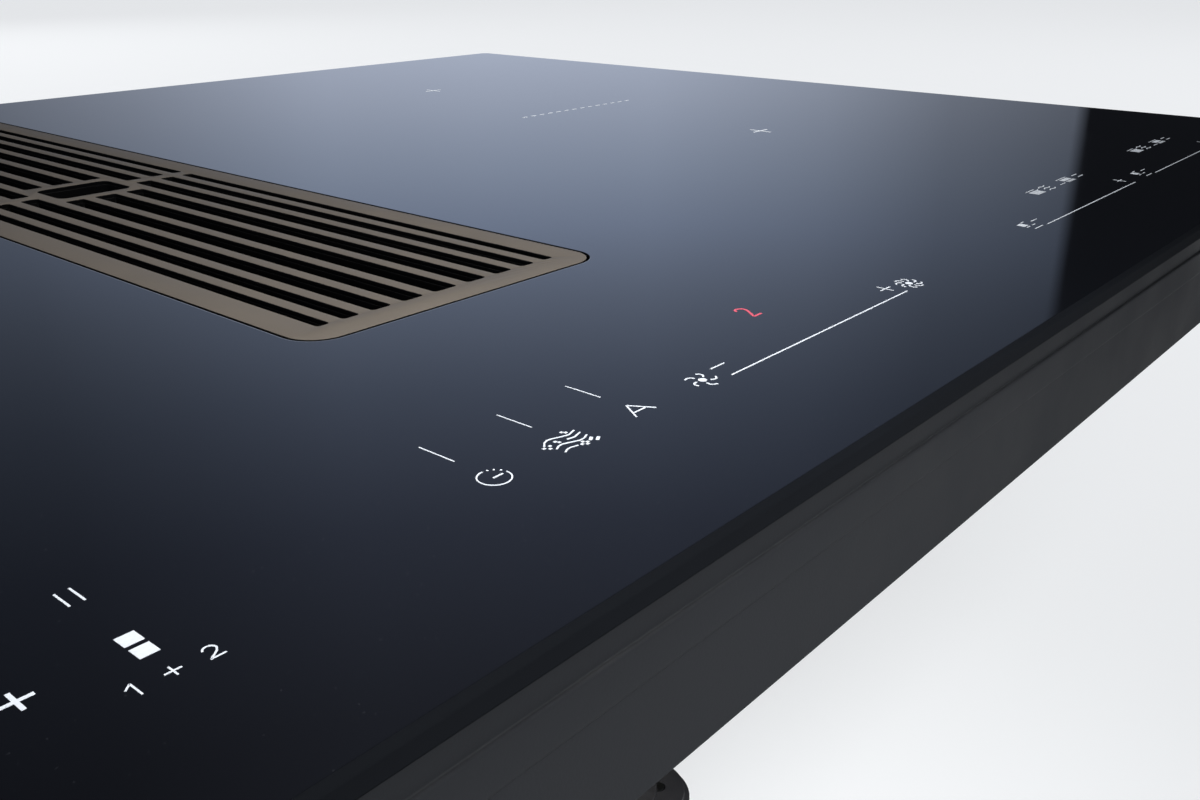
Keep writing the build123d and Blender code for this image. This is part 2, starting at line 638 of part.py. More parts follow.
with BuildPart() as body_tray:
    with BuildSketch(Plane.XY.offset(Z_TRAY)):
        RectangleRounded(TRAY_W, TRAY_D, TRAY_R)
    extrude(amount=TRAY_H)
    with BuildSketch(Plane.XY.offset(Z_FLOOR)):
        RectangleRounded(2 * TRAY_INNER_X, 2 * TRAY_INNER_Y, TRAY_R - SHEET_T)
    extrude(amount=TRAY_H - 2 * SHEET_T, mode=Mode.SUBTRACT)
    with BuildSketch(Plane.XY.offset(Z_GLASS - SHEET_T)):
        Rectangle(TRAY_W - 2 * TRAY_LIP, TRAY_D - 2 * TRAY_LIP)
    extrude(amount=SHEET_T, mode=Mode.SUBTRACT)
    with BuildSketch(Plane.XY.offset(Z_TRAY)):
        with Locations((0, INLET_Y)):
            RectangleRounded(2 * CURB_X + 2 * SHEET_T, WELL_L + 2 * WELL_PLAY + 2 * SHEET_T,
                             WELL_R + WELL_PLAY + SHEET_T)
    extrude(amount=CURB_H)
    with BuildSketch(Plane.XY.offset(Z_TRAY)):
        with Locations((0, INLET_Y)):
            RectangleRounded(2 * CURB_X, WELL_L + 2 * WELL_PLAY, WELL_R + WELL_PLAY)
    extrude(amount=CURB_H, mode=Mode.SUBTRACT)
    with BuildSketch(Plane.XY.offset(Z_TRAY)):
        for side in SIDES.values():
            with Locations((side * FAN_X, FAN_Y)):
                with GridLocations(VENT_PITCH, VENT_L + VENT_W, VENT_COUNT, 2):
                    Rectangle(VENT_W, VENT_L)
            for end in (-1, 1):
                with Locations((side * CLAMP_X, end * CLAMP_Y)):
                    Circle(CLAMP_SCREW_R + SCREW_PLAY)
    extrude(amount=SHEET_T, mode=Mode.SUBTRACT)
    with BuildSketch(Plane.XZ.offset(-TRAY_D)):
        for side in SIDES.values():
            with Locations((side * MODULE_CX, Z_FLOOR + SINK_H / 2)):
                with GridLocations(REAR_VENT_PITCH, 2 * REAR_VENT_H, REAR_VENT_COUNT, 3):
                    Rectangle(REAR_VENT_L, REAR_VENT_H)
    extrude(amount=TRAY_D, mode=Mode.SUBTRACT)
save(body_tray.part, "body_tray")

# ---------------------------------------------------------------- induction modules

for side_name, side in SIDES.items():
    with BuildPart() as coil_plate:
        with BuildSketch(Plane.XY.offset(Z_COIL_PLATE)):
            with Locations((side * MODULE_CX, MODULE_CY)):
                Rectangle(MODULE_W, MODULE_L)
            for zone_y in ZONES.values():
                with Locations((side * ZONE_X, zone_y)):
                    Circle(COIL_EYE_R, mode=Mode.SUBTRACT)
        extrude(amount=COIL_PLATE_T)
    save(coil_plate.part, f"coil_plate_{side_name}")

    for zone_name, zone_y in ZONES.items():
        with BuildPart() as coil_former:
            with BuildSketch(Plane.XY.offset(Z_FORMER)):
                with Locations((side * ZONE_X, zone_y)):
                    Circle(FORMER_R)
                    Circle(COIL_EYE_R - FORMER_EDGE, mode=Mode.SUBTRACT)
            extrude(amount=FORMER_T)
        save(coil_former.part, f"coil_former_{zone_name}_{side_name}")

        with BuildPart() as coil_winding:
            with BuildSketch(Plane.XY.offset(Z_WINDING)):
                with Locations((side * ZONE_X, zone_y)):
                    Circle(COIL_R)
                    Circle(COIL_SPLIT_R + COIL_SPLIT_W / 2, mode=Mode.SUBTRACT)
                    Circle(COIL_SPLIT_R - COIL_SPLIT_W / 2)
                    Circle(COIL_EYE_R, mode=Mode.SUBTRACT)
            extrude(amount=WINDING_H)
        save(coil_winding.part, f"coil_winding_{zone_name}_{side_name}")

    with BuildPart() as inverter_board:
        board_z = Z_FLOOR + BOARD_LIFT
        with BuildSketch(Plane.XY.offset(board_z)):
            with Locations((side * BOARD_X, BOARD_Y)):
                Rectangle(BOARD_W, BOARD_L)
        extrude(amount=BOARD_T)
        with BuildSketch(Plane.XY.offset(board_z + BOARD_T)):
            with Locations((side * BOARD_X, BOARD_Y)):
                with GridLocations(CAPACITOR_PITCH, CAPACITOR_PITCH, CAPACITOR_COUNT, 1):
                    Circle(CAPACITOR_R)
        extrude(amount=CAPACITOR_H)
    save(inverter_board.part, f"inverter_board_{side_name}")

    with BuildPart() as fan_frame:
        with BuildSketch(Plane.XY.offset(Z_FLOOR)):
            with Locations((side * FAN_X, FAN_Y)):
                RectangleRounded(FAN_SIZE, FAN_SIZE, FAN_WALL)
                Circle(FAN_SIZE / 2 - FAN_WALL, mode=Mode.SUBTRACT)
        extrude(amount=FAN_H)
        with BuildSketch(Plane.XY.offset(Z_FLOOR)):
            with Locations((side * FAN_X, FAN_Y)):
                Circle(FAN_HUB_R)
                Rectangle(FAN_SIZE - FAN_WALL, FAN_STRUT)
                Rectangle(FAN_STRUT, FAN_SIZE - FAN_WALL)
        extrude(amount=FAN_FLOOR_T)
        with BuildSketch(Plane.XY.offset(Z_FLOOR + FAN_FLOOR_T)):
            with Locations((side * FAN_X, FAN_Y)):
                Circle(FAN_PIN_R)
        extrude(amount=FAN_H - 3 * FAN_FLOOR_T)
    save(fan_frame.part, f"cooling_fan_frame_{side_name}")

    with BuildPart() as fan_rotor:
        rotor_z = Z_FLOOR + FAN_FLOOR_T + SEAT_GAP
        rotor_h = FAN_H - 2 * FAN_FLOOR_T
        blade_in = FAN_HUB_R - FAN_BLADE_T
        blade_out = FAN_SIZE / 2 - FAN_WALL - FAN_TIP_GAP
        with BuildSketch(Plane.XY.offset(rotor_z)):
            with Locations((side * FAN_X, FAN_Y)):
                Circle(FAN_HUB_R)
        extrude(amount=rotor_h)
        with Locations((side * FAN_X, FAN_Y, rotor_z + rotor_h / 2)):
            with PolarLocations((blade_in + blade_out) / 2, FAN_BLADES):
                Box(blade_out - blade_in, FAN_BLADE_T, rotor_h, rotation=(FAN_BLADE_TILT, 0, 0))
        with BuildSketch(Plane.XY.offset(rotor_z)):
            with Locations((side * FAN_X, FAN_Y)):
                Circle(FAN_PIN_R + RUN_GAP)
        extrude(amount=rotor_h - FAN_FLOOR_T + SEAT_GAP, mode=Mode.SUBTRACT)
    save(fan_rotor.part, f"cooling_fan_rotor_{side_name}")

with BuildPart() as heat_sinks:
    fin_pitch = (SINK_W - SINK_FIN_T) / (SINK_FINS - 1)
    with BuildSketch(Plane.XZ.offset(-SINK_Y - SINK_L / 2)):
        for side in SIDES.values():
            with Locations((side * FAN_X, Z_FLOOR + SINK_BASE / 2)):
                Rectangle(SINK_W, SINK_BASE)
            with Locations((side * FAN_X, Z_FLOOR + SINK_H / 2)):
                with GridLocations(fin_pitch, 1, SINK_FINS, 1):
                    Rectangle(SINK_FIN_T, SINK_H)
    extrude(amount=SINK_L)
save(heat_sinks.part, "heat_sinks")

with BuildPart() as ferrite_bars:
    bar_radius = COIL_EYE_R + FERRITE_W + FERRITE_L / 2
    with BuildSketch(Plane.XY.offset(Z_FERRITE)):
        for side in SIDES.values():
            for zone_y in ZONES.values():
                with Locations((side * ZONE_X, zone_y)):
                    with PolarLocations(bar_radius, FERRITE_COUNT):
                        Rectangle(FERRITE_L, FERRITE_W)
    extrude(amount=FERRITE_T)
save(ferrite_bars.part, "ferrite_bars")

with BuildPart() as insulation_sheets:
    with BuildSketch(Plane.XY.offset(Z_MICA)):
        for side in SIDES.values():
            with Locations((side * ZONE_X, (ZONE_FRONT_Y + ZONE_REAR_Y) / 2)):
                RectangleRounded(2 * COIL_R, ZONE_REAR_Y - ZONE_FRONT_Y + 2 * COIL_R, TRAY_LIP)
    extrude(amount=MICA_T)
save(insulation_sheets.part, "insulation_sheets")

with BuildPart() as spacer_posts:
    with BuildSketch(Plane.XY.offset(Z_FLOOR)):
        for side in SIDES.values():
            with Locations((side * MODULE_CX, MODULE_CY)):
                with GridLocations(MODULE_W - POST_INSET, MODULE_L - POST_INSET, 2, 2):
                    RegularPolygon(POST_AF / 2, 6, major_radius=False)
    extrude(amount=Z_COIL_PLATE - Z_FLOOR)
    with BuildSketch(Plane.XY.offset(Z_FLOOR)):
        for side in SIDES.values():
            with Locations((side * BOARD_X, BOARD_Y)):
                with GridLocations(BOARD_W - 2 * BOARD_POST_INSET, BOARD_L - 2 * BOARD_POST_INSET, 2, 2):
                    RegularPolygon(POST_AF / 2, 6, major_radius=False)
    extrude(amount=BOARD_LIFT)
save(spacer_posts.part, "spacer_posts")

# ---------------------------------------------------------------- touch control strip

Z_TOUCH = Z_GLASS - CARRIER_T

with BuildPart() as touch_carrier:
    with BuildSketch(Plane.XY.offset(Z_TOUCH)):
        with Locations((0, CONTROL_Y)):
            Rectangle(CONTROL_W, CONTROL_D)
        for display_x in DISPLAY_X:
            with Locations((display_x, CONTROL_Y + DISPLAY_Y)):
                Rectangle(DISPLAY_L + 2 * SEAT_GAP, DISPLAY_D + 2 * SEAT_GAP, mode=Mode.SUBTRACT)
    extrude(amount=CARRIER_T)
save(touch_carrier.part, "touch_carrier")

with BuildPart() as touch_board:
    with BuildSketch(Plane.XY.offset(Z_TOUCH - BOARD_T)):
        with Locations((0, CONTROL_Y)):
            Rectangle(CONTROL_W, CONTROL_D)
    extrude(amount=BOARD_T)
save(touch_board.part, "touch_board")

with BuildPart() as display_modules:
    with BuildSketch(Plane.XY.offset(Z_TOUCH)):
        for display_x in DISPLAY_X:
            with Locations((display_x, CONTROL_Y + DISPLAY_Y)):
                Rectangle(DISPLAY_L, DISPLAY_D)
    extrude(amount=DISPLAY_H)
save(display_modules.part, "display_modules")

# ---------------------------------------------------------------- blower housing

HALF_STEP = SCROLL_STEP / 2
BOSS_OFFSET = MOULD_T + BOSS_R - BOSS_SINK

# the scroll's quarter arcs: side and end of each arc's centre, start angle and sweep
QUARTERS = ((1, 1, 270, 90), (1, -1, 180, 90), (-1, -1, 90, 90), (-1, 1, TONGUE_ANGLE, 90 - TONGUE_ANGLE))

SCROLL_BOSSES = (
    (BLOWER_X - HALF_STEP, BLOWER_Y + HALF_STEP + SCROLL_R + BOSS_OFFSET),
    (BLOWER_X - HALF_STEP - SCROLL_R - SCROLL_STEP - BOSS_OFFSET, BLOWER_Y - HALF_STEP),
    (BLOWER_X + HALF_STEP, BLOWER_Y - HALF_STEP - SCROLL_R - 2 * SCROLL_STEP - BOSS_OFFSET),
    (SCROLL_RIGHT + BOSS_OFFSET, BLOWER_Y + HALF_STEP),
    (SCROLL_RIGHT + BOSS_OFFSET, DUCT_Y - 2 * BOSS_R - DUCT_FLANGE_T),
)
PLENUM_BOSS_X = PLENUM_WELL_W / 2 - PLENUM_BOSS_INSET
PLENUM_BOSS_Y = PLENUM_WELL_L / 2 - PLENUM_BOSS_INSET
PLENUM_BOSSES = (
    (-PLENUM_BOSS_X, INLET_Y - PLENUM_BOSS_Y), (PLENUM_BOSS_X, INLET_Y - PLENUM_BOSS_Y),
    (-PLENUM_BOSS_X, INLET_Y + PLENUM_BOSS_Y), (PLENUM_BOSS_X, INLET_Y + PLENUM_BOSS_Y),
    (BLOWER_X, BLOWER_Y - PLENUM_R + PLENUM_BOSS_INSET),
    (BLOWER_X, BLOWER_Y + PLENUM_R - PLENUM_BOSS_INSET),
)


def scroll_outline(grow):
    """Air side of the scroll, grown outwards and cut off at the duct's face."""
    with BuildSketch() as outline:
        with BuildLine():
            wall_right = Line((SCROLL_RIGHT, DUCT_Y), (SCROLL_RIGHT, BLOWER_Y + HALF_STEP))
            for turns_left, (side, end, start, sweep) in zip((3, 2, 1, 0), QUARTERS):
                arc = CenterArc((BLOWER_X + side * HALF_STEP, BLOWER_Y + end * HALF_STEP),
                                SCROLL_R + turns_left * SCROLL_STEP, start, sweep)
            diffuser = Line(arc @ 0, (DUCT_X - DUCT_W / 2 + MOULD_T, DUCT_Y))
            Line(diffuser @ 1, wall_right @ 0)
        make_face()
        if grow:
            offset(amount=grow, kind=Kind.INTERSECTION)
            with Locations((DUCT_X, DUCT_Y + grow)):
                Rectangle(2 * DUCT_W, 2 * grow, mode=Mode.SUBTRACT)
    return outline.sketch


def plenum_outline(shrink):
    """Outside of the plenum, or its inside: the well's foot joined to a round end under the blower."""
    with BuildSketch() as outline:
        with Locations((0, INLET_Y)):
            RectangleRounded(PLENUM_WELL_W - 2 * shrink, PLENUM_WELL_L - 2 * shrink, PLENUM_CORNER - shrink)
        with Locations((BLOWER_X / 2, BLOWER_Y)):
            Rectangle(BLOWER_X, 2 * PLENUM_R - 2 * shrink)
        with Locations((BLOWER_X, BLOWER_Y)):
            Circle(PLENUM_R - shrink)
    return outline.sketch


with BuildPart() as plenum_cover:
    with BuildSketch(Plane.XY.offset(Z_SCROLL)):
        add(scroll_outline(MOULD_T))
        add(plenum_outline(0))
        with Locations(SCROLL_BOSSES):
            Circle(BOSS_R)
        with Locations((0, INLET_Y)):
            RectangleRounded(WELL_W - 2 * WELL_WALL - 2 * WELL_MOUTH_MARGIN,
                             WELL_L - 2 * WELL_WALL - 2 * WELL_MOUTH_MARGIN, WELL_R, mode=Mode.SUBTRACT)
        with Locations((BLOWER_X, BLOWER_Y)):
            Circle(INLET_RING_R, mode=Mode.SUBTRACT)
        with Locations(PLENUM_BOSSES):
            Circle(HOUSING_SCREW_R + SCREW_PLAY, mode=Mode.SUBTRACT)
    extrude(amount=MOULD_T)
save(plenum_cover.part, "plenum_cover")

with BuildPart() as scroll_wall:
    with BuildSketch(Plane.XY.offset(Z_SCROLL + MOULD_T)):
        add(scroll_outline(MOULD_T))
        with Locations(SCROLL_BOSSES):
            Circle(BOSS_R)
        add(scroll_outline(0), mode=Mode.SUBTRACT)
    extrude(amount=DUCT_H - 2 * MOULD_T)
    with BuildSketch(Plane.XY.offset(Z_COVER - MOULD_T)):
        with Locations(SCROLL_BOSSES):
            Circle(HOUSING_SCREW_R + SCREW_PLAY)
    extrude(amount=-HOUSING_SCREW_L, mode=Mode.SUBTRACT)
save(scroll_wall.part, "scroll_wall")

with BuildPart() as scroll_cover:
    with BuildSketch(Plane.XY.offset(Z_COVER - MOULD_T)):
        add(scroll_outline(MOULD_T))
        with Locations(SCROLL_BOSSES):
            Circle(BOSS_R)
        with Locations(SCROLL_BOSSES):
            Circle(HOUSING_SCREW_R + SCREW_PLAY, mode=Mode.SUBTRACT)
        with Locations((BLOWER_X, BLOWER_Y)):
            Circle(MOTOR_HOLE_R, mode=Mode.SUBTRACT)
    extrude(amount=MOULD_T)
    with BuildSketch(Plane.XY.offset(Z_COVER)):
        with Locations((BLOWER_X, BLOWER_Y)):
            Circle(COVER_RIB_R)
            Circle(COVER_RIB_R - COVER_RIB_T, mode=Mode.SUBTRACT)
    extrude(amount=COVER_RIB_H)
save(scroll_cover.part, "scroll_cover")

with BuildPart() as plenum_tub:
    with BuildSketch(Plane.XY):
        add(plenum_outline(0))
    extrude(amount=PLENUM_H)
    with BuildSketch(Plane.XY.offset(MOULD_T)):
        add(plenum_outline(MOULD_T))
        with Locations(PLENUM_BOSSES):
            Circle(BOSS_R, mode=Mode.SUBTRACT)
    extrude(amount=PLENUM_H, mode=Mode.SUBTRACT)
    # runners and guides of the overflow drawer
    runner_y = PLENUM_FRONT + DRAWER_L / 2
    for side in SIDES.values():
        with BuildSketch(Plane.XY.offset(MOULD_T)):
            with Locations((side * (DRAWER_W - RUNNER_W) / 2, runner_y)):
                Rectangle(RUNNER_W, DRAWER_L)
        extrude(amount=RUNNER_H)
        with BuildSketch(Plane.XY.offset(MOULD_T)):
            with Locations((side * (DRAWER_W / 2 + SLIDE_GAP + RUNNER_GUIDE_T / 2), runner_y)):
                Rectangle(RUNNER_GUIDE_T, DRAWER_L)
        extrude(amount=RUNNER_H + RUNNER_GUIDE_H)
    # front opening of the drawer
    with BuildSketch(Plane.XZ.offset(-PLENUM_FRONT + MOULD_T)):
        with Locations((0, MOULD_T + (DRAWER_OPENING_H + RUNNER_H) / 2)):
            Rectangle(DRAWER_W + 2 * SLIDE_GAP, DRAWER_OPENING_H - RUNNER_H)
    extrude(amount=-3 * MOULD_T, mode=Mode.SUBTRACT)
    with BuildSketch(Plane.XY):
        with Locations(PLENUM_BOSSES):
            Circle(HOUSING_SCREW_R + SCREW_PLAY)
    extrude(amount=PLENUM_H, mode=Mode.SUBTRACT)
    with BuildSketch(Plane.XY):
        with Locations(PLENUM_BOSSES):
            Circle(HOUSING_SCREW_HEAD_R + SCREW_PLAY)
    extrude(amount=PLENUM_SCREW_SINK, mode=Mode.SUBTRACT)
save(plenum_tub.part, "plenum_tub")

with BuildPart() as inlet_ring:
    ring_z = Z_SCROLL + MOULD_T
    with BuildSketch(Plane.XZ.offset(-BLOWER_Y)):
        with BuildLine():
            flange_out = Line((INLET_RING_R + INLET_RING_FLANGE, ring_z),
                              (INLET_RING_R + INLET_RING_FLANGE, ring_z + INLET_RING_T))
            flange_top = Line(flange_out @ 1, (INLET_RING_R + 2 * INLET_RING_T, ring_z + INLET_RING_T))
            bell_out = Line(flange_top @ 1, (INLET_RING_R, ring_z + INLET_RING_NECK))
            neck_top = Line(bell_out @ 1, (INLET_RING_R - INLET_RING_T, ring_z + INLET_RING_NECK))
            bell_in = Line(neck_top @ 1, (INLET_RING_R + INLET_RING_T, ring_z))
            Line(bell_in @ 1, flange_out @ 0)
        make_face()
    revolve(axis=Axis((0, BLOWER_Y, 0), (0, 0, 1)))
save(inlet_ring.part.moved(Location((BLOWER_X, 0, 0))), "inlet_ring")

# ---------------------------------------------------------------- impeller and motor

with BuildSketch() as blade_face:
    blade_in = IMPELLER_R - BLADE_DEPTH
    blade_out = IMPELLER_R - BLADE_RIM
    blade_mid = (blade_in + blade_out) / 2
    with BuildLine():
        pressure_side = ThreePointArc((blade_in, 0), (blade_mid, BLADE_SWEEP / 2 - BLADE_BOW),
                                      (blade_out, BLADE_SWEEP))
        tip = Line(pressure_side @ 1, (blade_out, BLADE_SWEEP - BLADE_T))
        suction_side = ThreePointArc(tip @ 1, (blade_mid, BLADE_SWEEP / 2 - BLADE_BOW - BLADE_T),
                                     (blade_in, -BLADE_T))
        Line(suction_side @ 1, pressure_side @ 0)
    make_face()

with BuildPart() as impeller:
    with BuildSketch(Plane.XY.offset(Z_IMPELLER)):
        with Locations((BLOWER_X, BLOWER_Y)):
            Circle(IMPELLER_R)
            Circle(IMPELLER_R - BLADE_DEPTH, mode=Mode.SUBTRACT)
    extrude(amount=RING_T)
    with BuildSketch(Plane.XY.offset(Z_IMPELLER + RING_T / 2)):
        with Locations((BLOWER_X, BLOWER_Y)):
            with PolarLocations(0, BLADE_COUNT):
                add(blade_face.sketch)
    extrude(amount=IMPELLER_H - RING_T)
    with BuildSketch(Plane.XY.offset(Z_HUB)):
        with Locations((BLOWER_X, BLOWER_Y)):
            Circle(IMPELLER_R)
            Circle(ROTOR_R + SEAT_GAP, mode=Mode.SUBTRACT)
    extrude(amount=RING_T)
save(impeller.part, "impeller")

with BuildPart() as motor_rotor:
    with BuildSketch(Plane.XY.offset(Z_ROTOR)):
        with Locations((BLOWER_X, BLOWER_Y)):
            Circle(ROTOR_R)
    extrude(amount=ROTOR_H)
    with BuildSketch(Plane.XY.offset(Z_ROTOR + ROTOR_H)):
        with Locations((BLOWER_X, BLOWER_Y)):
            Circle(ROTOR_R + ROTOR_FLANGE)
    extrude(amount=RING_T)
    with BuildSketch(Plane.XY.offset(Z_ROTOR + ROTOR_WALL)):
        with Locations((BLOWER_X, BLOWER_Y)):
            Circle(ROTOR_R - ROTOR_WALL)
    extrude(amount=ROTOR_H, mode=Mode.SUBTRACT)
    with BuildSketch(Plane.XY.offset(Z_ROTOR + ROTOR_WALL)):
        with Locations((BLOWER_X, BLOWER_Y)):
            Circle(SHAFT_R)
    extrude(amount=Z_MOTOR_PLATE - Z_ROTOR - 2 * ROTOR_WALL)
save(motor_rotor.part, "motor_rotor")

with BuildPart() as motor_stator:
    stator_z = Z_ROTOR + ROTOR_WALL + STATOR_FLOOR_GAP
    with BuildSketch(Plane.XY.offset(stator_z)):
        with Locations((BLOWER_X, BLOWER_Y)):
            Circle(STATOR_R)
            with PolarLocations(STATOR_R, STATOR_SLOTS):
                Rectangle(STATOR_SLOT_L, STATOR_SLOT_W, mode=Mode.SUBTRACT)
    extrude(amount=Z_HUB - stator_z)
    with BuildSketch(Plane.XY.offset(stator_z)):
        with Locations((BLOWER_X, BLOWER_Y)):
            Circle(STATOR_NECK_R)
    extrude(amount=Z_MOTOR_PLATE - stator_z)
    with BuildSketch(Plane.XY.offset(stator_z)):
        with Locations((BLOWER_X, BLOWER_Y)):
            Circle(SHAFT_R + RUN_GAP)
    extrude(amount=Z_MOTOR_PLATE - stator_z, mode=Mode.SUBTRACT)
save(motor_stator.part, "motor_stator")

with BuildPart() as motor_plate:
    with BuildSketch(Plane.XY.offset(Z_MOTOR_PLATE)):
        with Locations((BLOWER_X, BLOWER_Y)):
            Circle(MOTOR_PLATE_R)
            with PolarLocations(MOTOR_PLATE_HOLE_PITCH, 2 * BUSH_COUNT):
                Circle(MOTOR_PLATE_HOLE_R, mode=Mode.SUBTRACT)
    extrude(amount=MOTOR_PLATE_T)
save(motor_plate.part, "motor_plate")

with BuildPart() as motor_bushes:
    with BuildSketch(Plane.XY.offset(Z_COVER)):
        with Locations((BLOWER_X, BLOWER_Y)):
            with PolarLocations((MOTOR_HOLE_R + MOTOR_PLATE_R) / 2, BUSH_COUNT):
                Circle(BUSH_R)
    extrude(amount=BUSH_T)
save(motor_bushes.part, "motor_bushes")

# ---------------------------------------------------------------- duct spigot and flaps

with BuildPart() as outlet_spigot:
    with BuildSketch(Plane.XZ.offset(-DUCT_Y)):
        with Locations((DUCT_X, DUCT_CZ)):
            RectangleRounded(DUCT_W + 2 * DUCT_FLANGE, DUCT_H + 2 * DUCT_FLANGE, DUCT_R)
    extrude(amount=-DUCT_FLANGE_T)
    with BuildSketch(Plane.XZ.offset(-DUCT_Y)):
        with Locations((DUCT_X, DUCT_CZ)):
            RectangleRounded(DUCT_W, DUCT_H, DUCT_R)
    extrude(amount=-DUCT_L)
    with BuildSketch(Plane.XZ.offset(-DUCT_Y)):
        with Locations((DUCT_X, DUCT_CZ)):
            RectangleRounded(DUCT_W - 2 * DUCT_WALL, DUCT_H - 2 * DUCT_WALL, DUCT_R - DUCT_WALL)
    extrude(amount=-DUCT_L, mode=Mode.SUBTRACT)
    with BuildSketch(Plane.YZ.offset(DUCT_X)):
        with Locations((FLAP_Y, DUCT_CZ)):
            Circle(FLAP_AXLE_R)
    extrude(amount=(DUCT_W - DUCT_WALL) / 2, both=True)
save(outlet_spigot.part, "outlet_spigot")

FLAP_EDGE = KNUCKLE_R + FLAP_GAP
FLAP_TIP = DUCT_H / 2 - DUCT_WALL - FLAP_PLAY
FLAP_W = DUCT_W - 2 * DUCT_WALL - 2 * FLAP_PLAY
KNUCKLE_PITCH = FLAP_W / KNUCKLE_COUNT

for flap_name, up in {"upper": 1, "lower": -1}.items():
    with BuildPart() as flap:
        with BuildSketch(Plane.XZ.offset(-FLAP_Y + FLAP_T / 2)):
            with Locations((DUCT_X, DUCT_CZ + up * (FLAP_EDGE + FLAP_TIP) / 2)):
                RectangleRounded(FLAP_W, FLAP_TIP - FLAP_EDGE, DUCT_R - DUCT_WALL)
                Rectangle(FLAP_W, FLAP_TIP - FLAP_EDGE - 2 * DUCT_R)
            with Locations((DUCT_X, DUCT_CZ + up * (FLAP_EDGE + DUCT_R) / 2)):
                Rectangle(FLAP_W, DUCT_R - FLAP_EDGE)
            with Locations((DUCT_X + up * KNUCKLE_PITCH / 4, DUCT_CZ + up * FLAP_EDGE / 2)):
                with GridLocations(KNUCKLE_PITCH, 1, KNUCKLE_COUNT, 1):
                    Rectangle(KNUCKLE_L - FLAP_PLAY, FLAP_EDGE)
        extrude(amount=-FLAP_T)
        for number in range(KNUCKLE_COUNT):
            knuckle_x = DUCT_X + (number - (KNUCKLE_COUNT - 1) / 2 + up / 4) * KNUCKLE_PITCH
            with BuildSketch(Plane.YZ.offset(knuckle_x)):
                with Locations((FLAP_Y, DUCT_CZ)):
                    Circle(KNUCKLE_R)
            extrude(amount=(KNUCKLE_L - FLAP_PLAY) / 2, both=True)
        with BuildSketch(Plane.YZ.offset(DUCT_X)):
            with Locations((FLAP_Y, DUCT_CZ)):
                Circle(FLAP_AXLE_R + RUN_GAP)
        extrude(amount=DUCT_W / 2, both=True, mode=Mode.SUBTRACT)
    save(flap.part, f"flap_{flap_name}")

# ---------------------------------------------------------------- overflow drawer

with BuildPart() as overflow_drawer:
    with BuildSketch(Plane.XY.offset(Z_DRAWER)):
        with Locations((0, DRAWER_Y + DRAWER_L / 2)):
            Rectangle(DRAWER_W, DRAWER_L)
    extrude(amount=DRAWER_H)
    with BuildSketch(Plane.XY.offset(Z_DRAWER + DRAWER_WALL)):
        with Locations((0, DRAWER_Y + DRAWER_L / 2)):
            Rectangle(DRAWER_W - 2 * DRAWER_WALL, DRAWER_L - 2 * DRAWER_WALL)
    extrude(amount=DRAWER_H, mode=Mode.SUBTRACT)
    with BuildSketch(Plane.XZ.offset(-DRAWER_Y)):
        with Locations((0, PLENUM_H / 2)):
            RectangleRounded(DRAWER_W + 2 * DRAWER_FRONT_MARGIN, PLENUM_H - 2 * SLIDE_GAP - 2 * DRAIN_RIB_H,
                             2 * DRAWER_WALL)
    extrude(amount=DRAWER_FRONT_T)
    with BuildSketch(Plane.XY.offset(PLENUM_H / 2 - PULL_T / 2)):
        with Locations((0, DRAWER_Y - DRAWER_FRONT_T - PULL_D / 2 + PULL_T / 2)):
            RectangleRounded(PULL_W, PULL_D + PULL_T, PULL_T)
    extrude(amount=PULL_T)
save(overflow_drawer.part, "overflow_drawer")

# ---------------------------------------------------------------- terminal box and gland

TERMINAL_Y = TRAY_D / 2 - TERMINAL_INSET - TERMINAL_D / 2
TERMINAL_BACK = TERMINAL_Y + TERMINAL_D / 2
Z_TERMINAL = Z_TRAY - TERMINAL_H
GLAND_Z = Z_TRAY - TERMINAL_H / 2

with BuildPart() as terminal_box:
    with BuildSketch(Plane.XY.offset(Z_TERMINAL)):
        with Locations((TERMINAL_X, TERMINAL_Y)):
            RectangleRounded(TERMINAL_W, TERMINAL_D, 2 * TERMINAL_WALL)
    extrude(amount=TERMINAL_H)
    with BuildSketch(Plane.XY.offset(Z_TERMINAL)):
        with Locations((TERMINAL_X, TERMINAL_Y)):
            RectangleRounded(TERMINAL_W - 2 * TERMINAL_WALL, TERMINAL_D - 2 * TERMINAL_WALL, TERMINAL_WALL)
    extrude(amount=TERMINAL_H - TERMINAL_WALL, mode=Mode.SUBTRACT)
    with BuildSketch(Plane.XY.offset(Z_TRAY - TERMINAL_WALL)):
        with Locations((TERMINAL_X, TERMINAL_Y)):
            Rectangle(TERMINAL_BLOCK_W, TERMINAL_BLOCK_D)
    extrude(amount=-TERMINAL_BLOCK_H)
    with BuildSketch(Plane.XZ.offset(-TERMINAL_BACK)):
        with Locations((TERMINAL_X, GLAND_Z)):
            Circle(GLAND_R + SCREW_PLAY)
    extrude(amount=TERMINAL_WALL, mode=Mode.SUBTRACT)
save(terminal_box.part, "terminal_box")

with BuildPart() as terminal_lid:
    with BuildSketch(Plane.XY.offset(Z_TERMINAL - TERMINAL_LID_T)):
        with Locations((TERMINAL_X, TERMINAL_Y)):
            RectangleRounded(TERMINAL_W, TERMINAL_D, 2 * TERMINAL_WALL)
    extrude(amount=TERMINAL_LID_T)
    lid_edges = terminal_lid.faces().sort_by(Axis.Z)[0].edges()
    chamfer(lid_edges, TERMINAL_LID_T / 4)
save(terminal_lid.part, "terminal_lid")

